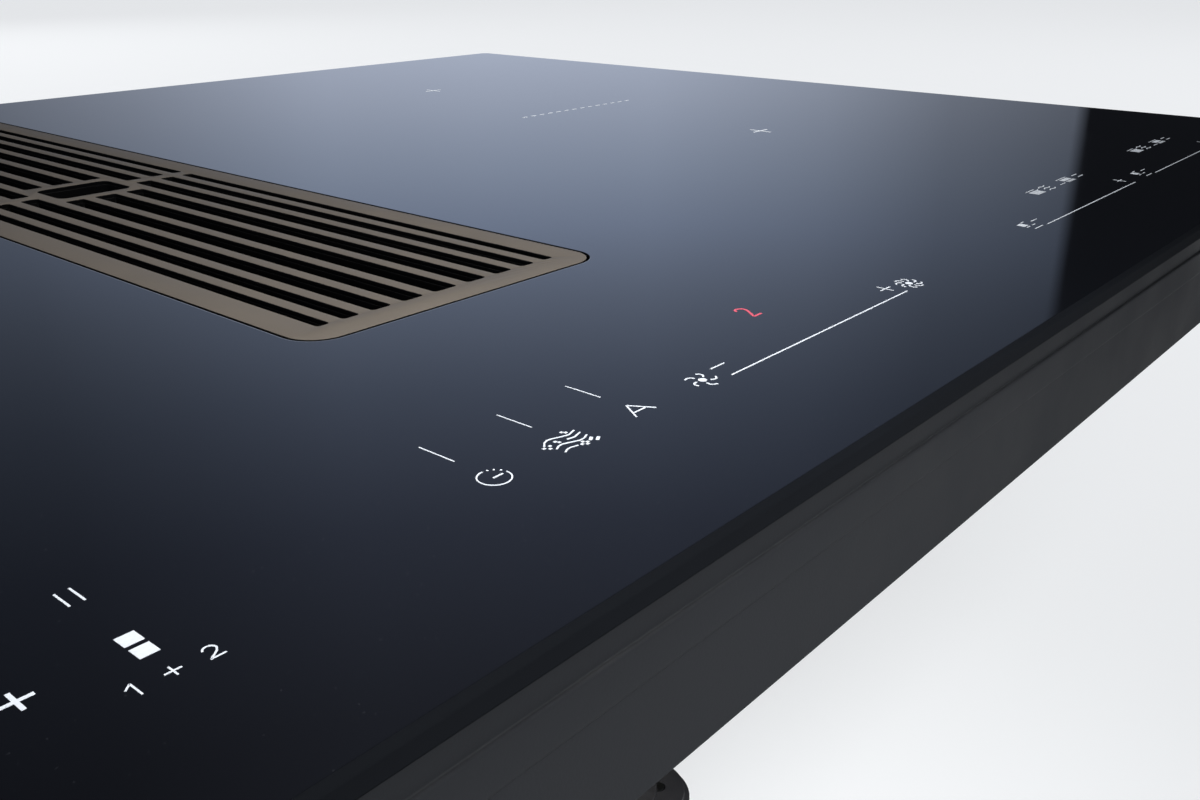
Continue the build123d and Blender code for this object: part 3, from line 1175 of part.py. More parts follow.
with BuildPart() as cable_gland:
    with BuildSketch(Plane.XZ.offset(-TERMINAL_BACK)):
        with Locations((TERMINAL_X, GLAND_Z)):
            RegularPolygon(GLAND_NUT_R, 6, major_radius=False)
    extrude(amount=-GLAND_NUT_T)
    with BuildSketch(Plane.XZ.offset(-TERMINAL_BACK - GLAND_NUT_T)):
        with Locations((TERMINAL_X, GLAND_Z)):
            Circle(GLAND_R + GLAND_LIP)
    extrude(amount=-GLAND_DOME_L, taper=GLAND_TAPER)
    with BuildSketch(Plane.XZ.offset(-TERMINAL_BACK)):
        with Locations((TERMINAL_X, GLAND_Z)):
            Circle(GLAND_R)
    extrude(amount=GLAND_THREAD_L)
    with BuildSketch(Plane.XZ.offset(-TERMINAL_BACK + GLAND_THREAD_L)):
        with Locations((TERMINAL_X, GLAND_Z)):
            Circle(GLAND_BORE_R)
    extrude(amount=-GLAND_THREAD_L - GLAND_NUT_T - GLAND_DOME_L, mode=Mode.SUBTRACT)
save(cable_gland.part, "cable_gland")

# ---------------------------------------------------------------- brackets, clamps, screws

with BuildPart() as hanger_brackets:
    hanger_reach = HANGER_R / 2 ** 0.5
    for side in SIDES.values():
        for end in (-1, 1):
            x = BLOWER_X + side * hanger_reach
            y = BLOWER_Y + end * hanger_reach
            with BuildSketch(Plane.XZ.offset(-y - HANGER_W / 2)):
                with Locations((x, Z_COVER + MOTOR_ROOM / 2)):
                    Rectangle(HANGER_FOOT, MOTOR_ROOM)
                with Locations((x + side * HANGER_T, Z_COVER + MOTOR_ROOM / 2)):
                    Rectangle(HANGER_FOOT, MOTOR_ROOM - 2 * HANGER_T, mode=Mode.SUBTRACT)
            extrude(amount=HANGER_W)
save(hanger_brackets.part, "hanger_brackets")

for side_name, side in SIDES.items():
    for zone_name, end in {"front": -1, "rear": 1}.items():
        screw_y = end * CLAMP_Y
        with BuildPart() as clamp_arm:
            with BuildSketch(Plane.XY.offset(Z_CLAMP)):
                with Locations((side * CLAMP_X, screw_y - end * (CLAMP_L - CLAMP_W) / 2)):
                    SlotOverall(CLAMP_L, CLAMP_W, rotation=90)
                with Locations((side * CLAMP_X, screw_y)):
                    Circle(CLAMP_SCREW_R + RUN_GAP, mode=Mode.SUBTRACT)
            extrude(amount=CLAMP_T)
            tip_y = screw_y - end * (CLAMP_L - CLAMP_W)
            with BuildSketch(Plane.XY.offset(Z_CLAMP + CLAMP_T)):
                with Locations((side * CLAMP_X, tip_y)):
                    Rectangle(CLAMP_W - CLAMP_TIP_L, CLAMP_TIP_L)
            extrude(amount=CLAMP_TIP_H)
        save(clamp_arm.part, f"clamp_arm_{zone_name}_{side_name}")

with BuildPart() as clamp_screws:
    head_z = Z_CLAMP - SEAT_GAP - CLAMP_HEAD_T
    with BuildSketch(Plane.XY.offset(head_z)):
        with GridLocations(2 * CLAMP_X, 2 * CLAMP_Y, 2, 2):
            RegularPolygon(CLAMP_HEAD_R, 6)
    extrude(amount=CLAMP_HEAD_T)
    with BuildSketch(Plane.XY.offset(head_z)):
        with GridLocations(2 * CLAMP_X, 2 * CLAMP_Y, 2, 2):
            Circle(CLAMP_SCREW_R)
    extrude(amount=Z_TRAY + CLAMP_THREAD_ABOVE - head_z)
    with BuildSketch(Plane.XY.offset(Z_TRAY - CLAMP_SPACER)):
        with GridLocations(2 * CLAMP_X, 2 * CLAMP_Y, 2, 2):
            RegularPolygon(CLAMP_COLLAR_R, 6)
    extrude(amount=CLAMP_SPACER)
save(clamp_screws.part, "clamp_screws")

with BuildPart() as housing_screws:
    with BuildSketch(Plane.XY.offset(Z_COVER)):
        with Locations(SCROLL_BOSSES):
            RegularPolygon(HOUSING_SCREW_HEAD_R, 6)
    extrude(amount=HOUSING_SCREW_HEAD_T)
    with BuildSketch(Plane.XY.offset(Z_COVER)):
        with Locations(SCROLL_BOSSES):
            Circle(HOUSING_SCREW_R)
    extrude(amount=-HOUSING_SCREW_L)
    with BuildSketch(Plane.XY.offset(PLENUM_SCREW_SINK)):
        with Locations(PLENUM_BOSSES):
            RegularPolygon(HOUSING_SCREW_HEAD_R, 6)
    extrude(amount=-HOUSING_SCREW_HEAD_T)
    with BuildSketch(Plane.XY.offset(PLENUM_SCREW_SINK)):
        with Locations(PLENUM_BOSSES):
            Circle(HOUSING_SCREW_R)
    extrude(amount=Z_SCROLL + MOULD_T - PLENUM_SCREW_SINK)
save(housing_screws.part, "housing_screws")
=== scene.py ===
"""Studio scene of the downdraft induction cooktop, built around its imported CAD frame.

Metres in the CAD's own frame: the origin lies under the middle of the glass, on the plane that the
blower housing stands on, with +X to the right, +Y to the back and +Z up.
"""

import json
import logging
import math
from collections.abc import Callable, Iterable
from dataclasses import dataclass, field, replace
from enum import Enum
from functools import cache

import bmesh
import bpy
from mathutils import Matrix, Vector
from mathutils.bvhtree import BVHTree


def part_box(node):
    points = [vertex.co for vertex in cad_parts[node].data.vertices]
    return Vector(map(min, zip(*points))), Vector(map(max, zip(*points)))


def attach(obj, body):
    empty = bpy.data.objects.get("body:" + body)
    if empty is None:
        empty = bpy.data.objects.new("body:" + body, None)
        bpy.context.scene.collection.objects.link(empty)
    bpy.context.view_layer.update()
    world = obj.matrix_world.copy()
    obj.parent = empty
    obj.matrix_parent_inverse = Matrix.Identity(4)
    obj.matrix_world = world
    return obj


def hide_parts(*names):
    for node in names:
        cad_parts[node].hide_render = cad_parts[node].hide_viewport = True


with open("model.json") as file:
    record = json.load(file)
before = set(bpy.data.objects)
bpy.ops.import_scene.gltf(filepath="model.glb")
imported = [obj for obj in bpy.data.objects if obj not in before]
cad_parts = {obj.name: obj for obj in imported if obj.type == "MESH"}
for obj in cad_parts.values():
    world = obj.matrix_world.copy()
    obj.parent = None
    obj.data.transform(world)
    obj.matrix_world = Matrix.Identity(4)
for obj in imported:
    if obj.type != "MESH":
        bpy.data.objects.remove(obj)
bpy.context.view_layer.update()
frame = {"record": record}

MM = 0.001
MERGE = 0.002 * MM  # corners of a CAD mesh that lie closer than this are one
FACING = 0.9  # a face looks along an axis where its normal's share along it is above this
STEEP = 0.5  # a wall is upright where its normal's share along Z is below this
FAR = 0.5  # from the middle of the cooktop to a place well outside it
CREASE = 32.0  # edges of a moulding or pressing sharper than this many degrees stay crisp
GLASS_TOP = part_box("glass_panel")[1].z
BLOWER_AXIS = (0.205, 0.040, 0.0)
log = logging.getLogger("cooktop")

Piece = bpy.types.Object
Socket = bpy.types.NodeSocket
Outputs = bpy.types.bpy_prop_collection
Element = bmesh.types.BMFace | bmesh.types.BMEdge
Point2 = tuple[float, float]
Colour = tuple[float, float, float]
Ray = tuple[Vector, Vector]


# ---------------------------------------------------------------- modelling helpers


def unit(axis: int) -> Vector:
    """Give the unit vector along X, Y or Z for 0, 1 or 2."""
    return Vector([float(index == axis) for index in range(3)])


def in_metres(lengths: Iterable[float]) -> list[float]:
    """Turn millimetres into metres."""
    return [length * MM for length in lengths]


def only(*pieces: Piece) -> None:
    """Select these pieces alone and make the first one active.

    Args:
        *pieces: What the next operator works on.
    """
    bpy.ops.object.select_all(action="DESELECT")
    for piece in pieces:
        piece.select_set(True)
    bpy.context.view_layer.objects.active = pieces[0]


def fix_place(piece: Piece) -> None:
    """Move a piece's place, turn and size into its mesh."""
    only(piece)
    bpy.ops.object.transform_apply(location=True, rotation=True, scale=True)


def edit(piece: Piece) -> None:
    """Enter edit mode on a piece with nothing selected.

    Args:
        piece: The piece to shape.
    """
    only(piece)
    bpy.ops.object.mode_set(mode="EDIT")
    bpy.ops.mesh.select_all(action="DESELECT")


def leave_edit() -> None:
    """Go back to object mode."""
    bpy.ops.object.mode_set(mode="OBJECT")


def pick(piece: Piece, kind: str, wanted: Callable[[Element], bool]) -> int:
    """Select the faces or edges that a test accepts, in edit mode.

    Args:
        piece: The piece in edit mode.
        kind: FACE or EDGE.
        wanted: Test of one face or edge.

    Returns:
        How many are selected.
    """
    bpy.ops.mesh.select_all(action="DESELECT")
    bpy.ops.mesh.select_mode(type=kind)
    shape = bmesh.from_edit_mesh(piece.data)
    chosen = [element for element in (shape.faces if kind == "FACE" else shape.edges) if wanted(element)]
    for element in chosen:
        element.select_set(True)
    bmesh.update_edit_mesh(piece.data)
    return len(chosen)


def modify(piece: Piece, kind: str, **settings: object) -> None:
    """Add one modifier and apply it.

    Args:
        piece: The piece.
        kind: Type of the modifier.
        **settings: Its properties.
    """
    modifier = piece.modifiers.new(kind.lower(), kind)
    for key, value in settings.items():
        setattr(modifier, key, value)
    only(piece)
    bpy.ops.object.modifier_apply(modifier=modifier.name)


def smooth(piece: Piece, angle: float) -> None:
    """Shade a piece smooth across edges of up to an angle in degrees."""
    only(piece)
    bpy.ops.object.shade_smooth_by_angle(angle=math.radians(angle))


def round_edges(piece: Piece, width: float, angle: float = 40.0) -> None:
    """Bevel the edges that are sharper than an angle in degrees, and shade the piece to match."""
    modify(piece, "BEVEL", width=width, segments=2, limit_method="ANGLE", angle_limit=math.radians(angle))
    smooth(piece, angle)


def round_corners(piece: Piece, radius: float) -> None:
    """Round the four upright edges of a flat block, in edit mode."""
    pick(piece, "EDGE", lambda edge: abs(edge.verts[0].co.z - edge.verts[1].co.z) > 0.5 * MM)
    bpy.ops.mesh.bevel(offset=radius, segments=6)


def recess(piece: Piece, axis: int, margin: float, depth: float) -> None:
    """Sink the face that looks against an axis, in edit mode.

    Args:
        piece: The piece in edit mode.
        axis: 0, 1 or 2 for X, Y or Z.
        margin: Width of the rim that stays.
        depth: Depth of the recess.
    """
    pick(piece, "FACE", lambda face: face.normal[axis] < -FACING)
    bpy.ops.mesh.inset(thickness=margin)
    bpy.ops.mesh.extrude_region_move(TRANSFORM_OT_translate={"value": unit(axis) * depth})


def cut(piece: Piece, cutter: Piece) -> None:
    """Cut one piece out of another and remove the cutter."""
    modify(piece, "BOOLEAN", operation="DIFFERENCE", solver="EXACT", object=cutter)
    bpy.data.objects.remove(cutter)


def block(name: str, low: Vector, high: Vector) -> Piece:
    """Start a piece as a box between two corners.

    Args:
        name: Name of the piece.
        low: Lowest corner.
        high: Highest corner.

    Returns:
        The box, with its place in its mesh.
    """
    low, high = Vector(low), Vector(high)
    bpy.ops.mesh.primitive_cube_add(size=1, location=(low + high) / 2)
    piece = bpy.context.object
    piece.name = name
    piece.scale = high - low
    fix_place(piece)
    return piece


def drum(name: str, centre: Vector, radius: float, length: float, sides: int, tilt: float = 0.0) -> Piece:
    """Start a piece as an upright or tilted cylinder.

    Args:
        name: Name of the piece.
        centre: Middle of the cylinder.
        radius: Its radius.
        length: Its length along the axis.
        sides: Number of sides.
        tilt: Its turn about X in radians.

    Returns:
        The cylinder, with its place in its mesh.
    """
    bpy.ops.mesh.primitive_cylinder_add(vertices=sides, radius=radius, depth=length, location=centre,
                                        rotation=(tilt, 0, 0))
    piece = bpy.context.object
    piece.name = name
    fix_place(piece)
    return piece


def joined(name: str, pieces: list[Piece]) -> Piece:
    """Join pieces into one.

    Args:
        name: Name of the joined piece.
        pieces: The pieces, the first of which keeps its material slots.

    Returns:
        The joined piece.
    """
    only(*pieces)
    bpy.ops.object.join()
    pieces[0].name = name
    return pieces[0]


def repeat(master: Piece, name: str, places: Iterable[Matrix]) -> list[Piece]:
    """Copy a piece to each place, and remove the piece itself.

    Args:
        master: The piece that is modelled once, at the origin.
        name: Name that the copies start with.
        places: Where the copies go.

    Returns:
        The copies, each with its place in its own mesh.
    """
    copies = []
    for place in places:
        only(master)
        bpy.ops.object.duplicate(linked=False)
        copy = bpy.context.object
        copy.name = f"{name}_{len(copies)}"
        copy.matrix_world = place
        fix_place(copy)
        copies.append(copy)
    bpy.data.objects.remove(master)
    return copies


def cad_copy(node: str, name: str) -> Piece:
    """Copy a CAD node as clean, merged geometry that a modifier can finish.

    Args:
        node: Name of the CAD node.
        name: Name of the copy.

    Returns:
        The copy, which replaces the node and isn't on a body yet.
    """
    piece = bpy.data.objects.new(name, bpy.data.objects[node].data.copy())
    bpy.context.scene.collection.objects.link(piece)
    edit(piece)
    bpy.ops.mesh.select_all(action="SELECT")
    bpy.ops.mesh.remove_doubles(threshold=MERGE)
    bpy.ops.mesh.dissolve_limited(angle_limit=math.radians(1))
    leave_edit()
    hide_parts(node)
    return piece


def loose_parts(node: str) -> list[tuple[Vector, Vector]]:
    """Give the box of each separate solid in a CAD node.

    Args:
        node: Name of the CAD node.

    Returns:
        Lowest and highest corner of each solid.
    """
    shape = bmesh.new()
    shape.from_mesh(bpy.data.objects[node].data)
    bmesh.ops.remove_doubles(shape, verts=shape.verts, dist=MERGE)
    seen: set[bmesh.types.BMVert] = set()
    boxes = []
    for first in shape.verts:
        if first in seen:
            continue
        seen.add(first)
        waiting, solid = [first], []
        while waiting:
            vertex = waiting.pop()
            solid.append(vertex.co.copy())
            near = [edge.other_vert(vertex) for edge in vertex.link_edges]
            waiting += [other for other in near if other not in seen]
            seen.update(near)
        boxes.append(tuple(Vector([end(places) for places in zip(*solid)]) for end in (min, max)))
    shape.free()
    return boxes


def surface(node: str) -> BVHTree:
    """Give a CAD node's surface for ray casts."""
    mesh = bpy.data.objects[node].data
    return BVHTree.FromPolygons([vertex.co for vertex in mesh.vertices],
                                [face.vertices for face in mesh.polygons])


def level_rays(axis: int, heading: int, places: Iterable[float], height: float) -> list[Ray]:
    """Give level rays side by side, which start outside the cooktop.

    Args:
        axis: 0 for rays along X, 1 for rays along Y.
        heading: 1 where they run up the axis, -1 where they run down it.
        places: Place of each ray on the other level axis.
        height: Height of the rays.

    Returns:
        Start and direction of each ray.
    """
    way = unit(axis) * heading
    return [(unit(1 - axis) * place + unit(2) * height - way * FAR, way) for place in places]


def band(piece: Piece, axis: int, low: float, high: float, grow: float,
         outer: Callable[[Vector, Vector], bool]) -> None:
    """Raise a band of a piece's outer wall between two planes.

    Args:
        piece: The piece.
        axis: 0, 1 or 2 for the direction across the band.
        low: Place of the first plane.
        high: Place of the second plane.
        grow: How far the band stands out.
        outer: Test of a wall face's middle and normal.
    """
    edit(piece)
    for place in (low, high):
        bpy.ops.mesh.select_all(action="SELECT")
        bpy.ops.mesh.bisect(plane_co=unit(axis) * place, plane_no=unit(axis))

    def wanted(face: bmesh.types.BMFace) -> bool:
        """Accept the outer wall faces between the planes."""
        middle = face.calc_center_median()
        return low < middle[axis] < high and abs(face.normal[axis]) < 0.1 and outer(middle, face.normal)

    if pick(piece, "FACE", wanted):
        bpy.ops.mesh.extrude_region_shrink_fatten(TRANSFORM_OT_shrink_fatten={"value": grow})
    leave_edit()


@dataclass(frozen=True)
class Rib:
    """An upright stiffening rib on the outside of a moulding, narrower at its crest."""

    low: float
    high: float
    depth: float = 2.4 * MM
    width: float = 2.0 * MM
    sunk: float = 0.4 * MM
    crest: float = 0.6

    def master(self) -> Piece:
        """Model the rib at the origin, standing out towards +X.

        Returns:
            The rib.
        """
        rib = block("rib", (-self.sunk, -self.width / 2, self.low), (self.depth, self.width / 2, self.high))
        edit(rib)
        pick(rib, "FACE", lambda face: face.normal.x > FACING)
        middle = (self.depth, 0, (self.low + self.high) / 2)
        slope = 1 - 2 * self.depth / (self.high - self.low)
        bpy.ops.transform.resize(value=(1, self.crest, slope), center_override=middle)
        leave_edit()
        return rib

    def row(self, wall: BVHTree, rays: Iterable[Ray]) -> list[Piece]:
        """Set a rib wherever a ray meets the upright wall.

        Args:
            wall: The wall's surface.
            rays: Start and direction of each ray, from outside.

        Returns:
            The ribs.
        """
        places = []
        for start, direction in rays:
            place, normal, _, _ = wall.ray_cast(start, direction)
            if place is None or abs(normal.z) > STEEP:
                continue
            turn = Matrix.Rotation(math.atan2(normal.y, normal.x), 4, "Z")
            places.append(Matrix.Translation((place.x, place.y, 0)) @ turn)
        return repeat(self.master(), "rib", places)


@dataclass(frozen=True)
class PanHead:
    """A low pan head with a hexagonal socket."""

    radius: float = 3.9 * MM
    height: float = 0.8 * MM
    socket: float = 2.1 * MM
    sunk: float = 0.2 * MM
    sides: int = 28

    def master(self) -> Piece:
        """Model the head at the origin, looking towards +Z.

        Returns:
            The head.
        """
        middle = (0, 0, (self.height - self.sunk) / 2)
        head = drum("head", middle, self.radius, self.height + self.sunk, self.sides)
        edit(head)
        rim = self.height - 0.01 * MM
        pick(head, "EDGE", lambda edge: min(vertex.co.z for vertex in edge.verts) > rim)
        bpy.ops.mesh.bevel(offset=0.5 * self.height, segments=3)
        leave_edit()
        cut(head, drum("head_socket", (0, 0, self.height), self.socket, 1.5 * self.height, 6))
        return head

    def row(self, seats: Iterable[tuple[Vector, bool]]) -> list[Piece]:
        """Set a head on each seat.

        Args:
            seats: Place of each seat and whether it looks down.

        Returns:
            The heads.
        """
        places = [Matrix.Translation(place) @ Matrix.Rotation(math.pi if down else 0.0, 4, "X")
                  for place, down in seats]
        return repeat(self.master(), "head", places)


# ---------------------------------------------------------------- shading helpers


class Wiring:
    """Adds and links the nodes of one node tree."""

    def __init__(self, tree: bpy.types.NodeTree) -> None:
        """Keep the tree of a material, group or world."""
        self.tree = tree

    def fill(self, node: bpy.types.Node, inputs: dict[str | int, object]) -> None:
        """Link a node's inputs to other nodes' outputs, or set them to constants.

        Args:
            node: The node.
            inputs: What goes into each input, by name or number.
        """
        for key, value in inputs.items():
            socket = node.inputs[key]
            if isinstance(value, Socket):
                self.tree.links.new(value, socket)
            elif socket.type == "RGBA" and len(value) == 3:
                socket.default_value = (*value, 1.0)
            else:
                socket.default_value = value

    def add(self, kind: str, inputs: dict[str | int, object] | None = None,
            **settings: object) -> bpy.types.Node:
        """Add a node.

        Args:
            kind: Node type, such as ShaderNodeMath.
            inputs: What goes into its inputs, by name or number.
            **settings: Properties of the node.

        Returns:
            The node.
        """
        node = self.tree.nodes.new(kind)
        for key, value in settings.items():
            setattr(node, key, value)
        self.fill(node, inputs or {})
        return node

    def group(self, tree: bpy.types.NodeTree, **inputs: object) -> Outputs:
        """Use a node group and give its outputs by name."""
        return self.add("ShaderNodeGroup", inputs, node_tree=tree).outputs

    def xyz(self, vector: object) -> Outputs:
        """Split a vector into X, Y and Z."""
        return self.add("ShaderNodeSeparateXYZ", {0: vector}).outputs

    def math(self, operation: str, first: object, second: object = 0.0, third: object = 0.0,
             clamp: bool = False) -> Socket:
        """Calculate with up to three values or outputs; clamp keeps the result between 0 and 1."""
        return self.add("ShaderNodeMath", {0: first, 1: second, 2: third}, operation=operation,
                        use_clamp=clamp).outputs[0]

    def span(self, value: object, from_low: float, from_high: float, to_low: float = 0.0,
             to_high: float = 1.0) -> Socket:
        """Map a range of values to another, clamped at its ends.

        Args:
            value: The value or output.
            from_low: Start of the range.
            from_high: End of the range.
            to_low: Result at the start.
            to_high: Result at the end.

        Returns:
            The result.
        """
        return self.add("ShaderNodeMapRange", {"Value": value, "From Min": from_low, "From Max": from_high,
                                               "To Min": to_low, "To Max": to_high}).outputs["Result"]

    def blend(self, share: object, first: object, second: object, mode: str = "MIX") -> Socket:
        """Mix a share of the second colour into the first."""
        return self.add("ShaderNodeMix", {0: share, 6: first, 7: second}, data_type="RGBA",
                        blend_type=mode).outputs[2]

    def lean(self, share: object, first: object, second: object) -> Socket:
        """Mix a share of the second vector into the first."""
        return self.add("ShaderNodeMix", {0: share, 4: first, 5: second}, data_type="VECTOR").outputs[1]

    def place(self, centre: Vector = (0, 0, 0), scale: Vector = (1, 1, 1)) -> Socket:
        """Give Object coordinates, centred and scaled.

        Args:
            centre: The pattern's middle in metres.
            scale: Scale along X, Y and Z.

        Returns:
            The coordinates.
        """
        source = self.add("ShaderNodeTexCoord").outputs["Object"]
        start = [-middle * stretch for middle, stretch in zip(centre, scale)]
        return self.add("ShaderNodeMapping", {"Location": start, "Scale": scale, "Vector": source},
                        vector_type="POINT").outputs[0]

    def noise(self, vector: object, scale: object, detail: float = 3.0, roughness: float = 0.55) -> Socket:
        """Add a noise texture.

        Args:
            vector: Coordinates.
            scale: Scale of the noise.
            detail: Number of finer layers.
            roughness: How strong the finer layers are.

        Returns:
            The noise value, around 0.5.
        """
        return self.add("ShaderNodeTexNoise", {"Vector": vector, "Scale": scale, "Detail": detail,
                                               "Roughness": roughness}).outputs["Fac"]


class Effects:
    """Node groups that more than one finish uses, each built once."""

    def __init__(self) -> None:
        """Build all groups."""
        self.edges = self._edges()
        self.grain = self._layers("fine_grain", 900.0, (2.0, 0.55), 60.0, 3.0)
        self.lines = self._layers("drawn_lines", 40.0, (4.0, 0.7), 9.0, 2.0)
        self.dust = self._dust()

    @staticmethod
    def _group(name: str, inputs: dict[str, float | None],
               outputs: dict[str, str]) -> tuple[Wiring, Outputs, bpy.types.Node]:
        """Start a node group.

        Args:
            name: Name of the group.
            inputs: Default of each number, or None for a vector, by name.
            outputs: Socket kind of each output, by name.

        Returns:
            The group's wiring, its inner sources and the node that takes its results.
        """
        tree = bpy.data.node_groups.new(name, "ShaderNodeTree")
        for key, default in inputs.items():
            kind = "NodeSocketVector" if default is None else "NodeSocketFloat"
            socket = tree.interface.new_socket(key, in_out="INPUT", socket_type=kind)
            if default is not None:
                socket.default_value = default
        for key, kind in outputs.items():
            tree.interface.new_socket(key, in_out="OUTPUT", socket_type=f"NodeSocket{kind}")
        wiring = Wiring(tree)
        return wiring, wiring.add("NodeGroupInput").outputs, wiring.add("NodeGroupOutput")

    def _edges(self) -> bpy.types.NodeTree:
        """Build the group that rounds edges in the shading and masks them.

        Returns:
            The group, with Normal and Mask.
        """
        wiring, source, end = self._group("soft_edges", {"Radius": 0.5 * MM, "Gain": 5.0},
                                          {"Normal": "Vector", "Mask": "Float"})
        rounded = wiring.add("ShaderNodeBevel", {"Radius": source["Radius"]}, samples=4).outputs[0]
        flat = wiring.add("ShaderNodeNewGeometry").outputs["Normal"]
        dot = wiring.add("ShaderNodeVectorMath", {0: rounded, 1: flat}, operation="DOT_PRODUCT")
        turned = wiring.math("SUBTRACT", 1.0, dot.outputs["Value"])
        mask = wiring.math("MULTIPLY", turned, source["Gain"], clamp=True)
        wiring.fill(end, {"Normal": rounded, "Mask": mask})
        return wiring.tree

    def _layers(self, name: str, scale: float, fine: tuple[float, float], ratio: float,
                broad: float) -> bpy.types.NodeTree:
        """Build a group with a fine noise for the relief and a broad one for the tone.

        Args:
            name: Name of the group.
            scale: Default scale of the fine noise.
            fine: Detail and roughness of the fine noise.
            ratio: How many times broader the broad noise is.
            broad: Detail of the broad noise.

        Returns:
            The group, with Height and Tone.
        """
        wiring, source, end = self._group(name, {"Vector": None, "Scale": scale},
                                          {"Height": "Float", "Tone": "Float"})
        height = wiring.noise(source["Vector"], source["Scale"], *fine)
        cloud = wiring.noise(source["Vector"], wiring.math("DIVIDE", source["Scale"], ratio), broad)
        wiring.fill(end, {"Height": height, "Tone": wiring.span(cloud, 0.3, 0.7)})
        return wiring.tree

    def _dust(self) -> bpy.types.NodeTree:
        """Build the group for the thin dust on faces that look up.

        Returns:
            The group, with Mask.
        """
        wiring, source, end = self._group("thin_dust", {"Vector": None, "Amount": 0.2}, {"Mask": "Float"})
        normal = wiring.add("ShaderNodeNewGeometry").outputs["Normal"]
        upward = wiring.span(wiring.xyz(normal)["Z"], 0.2, 1.0)
        cloud = wiring.span(wiring.noise(source["Vector"], 35.0, 5.0, 0.65), 0.42, 0.75)
        thin = wiring.math("MULTIPLY", cloud, source["Amount"])
        wiring.fill(end, {"Mask": wiring.math("MULTIPLY", upward, thin)})
        return wiring.tree


EFFECTS = Effects()


def new_material(name: str) -> tuple[bpy.types.Material, Wiring, bpy.types.Node]:
    """Start a material.

    Args:
        name: Name of the material.

    Returns:
        The material, its wiring and its Principled BSDF.
    """
    material = bpy.data.materials.new(name)
    material.use_nodes = True
    return material, Wiring(material.node_tree), material.node_tree.nodes["Principled BSDF"]


class Texture(Enum):
    """Surface patterns that a finish can carry."""

    GRAIN = "grain"
    DRAWN_X = "drawn along X"
    DRAWN_Y = "drawn along Y"
    TURNED = "turned round an upright axis"
    SPANGLE = "zinc spangle"
    FLAKES = "flaked sheet"
    FOAM = "open foam"
    BOARD = "lacquered board with tracks"


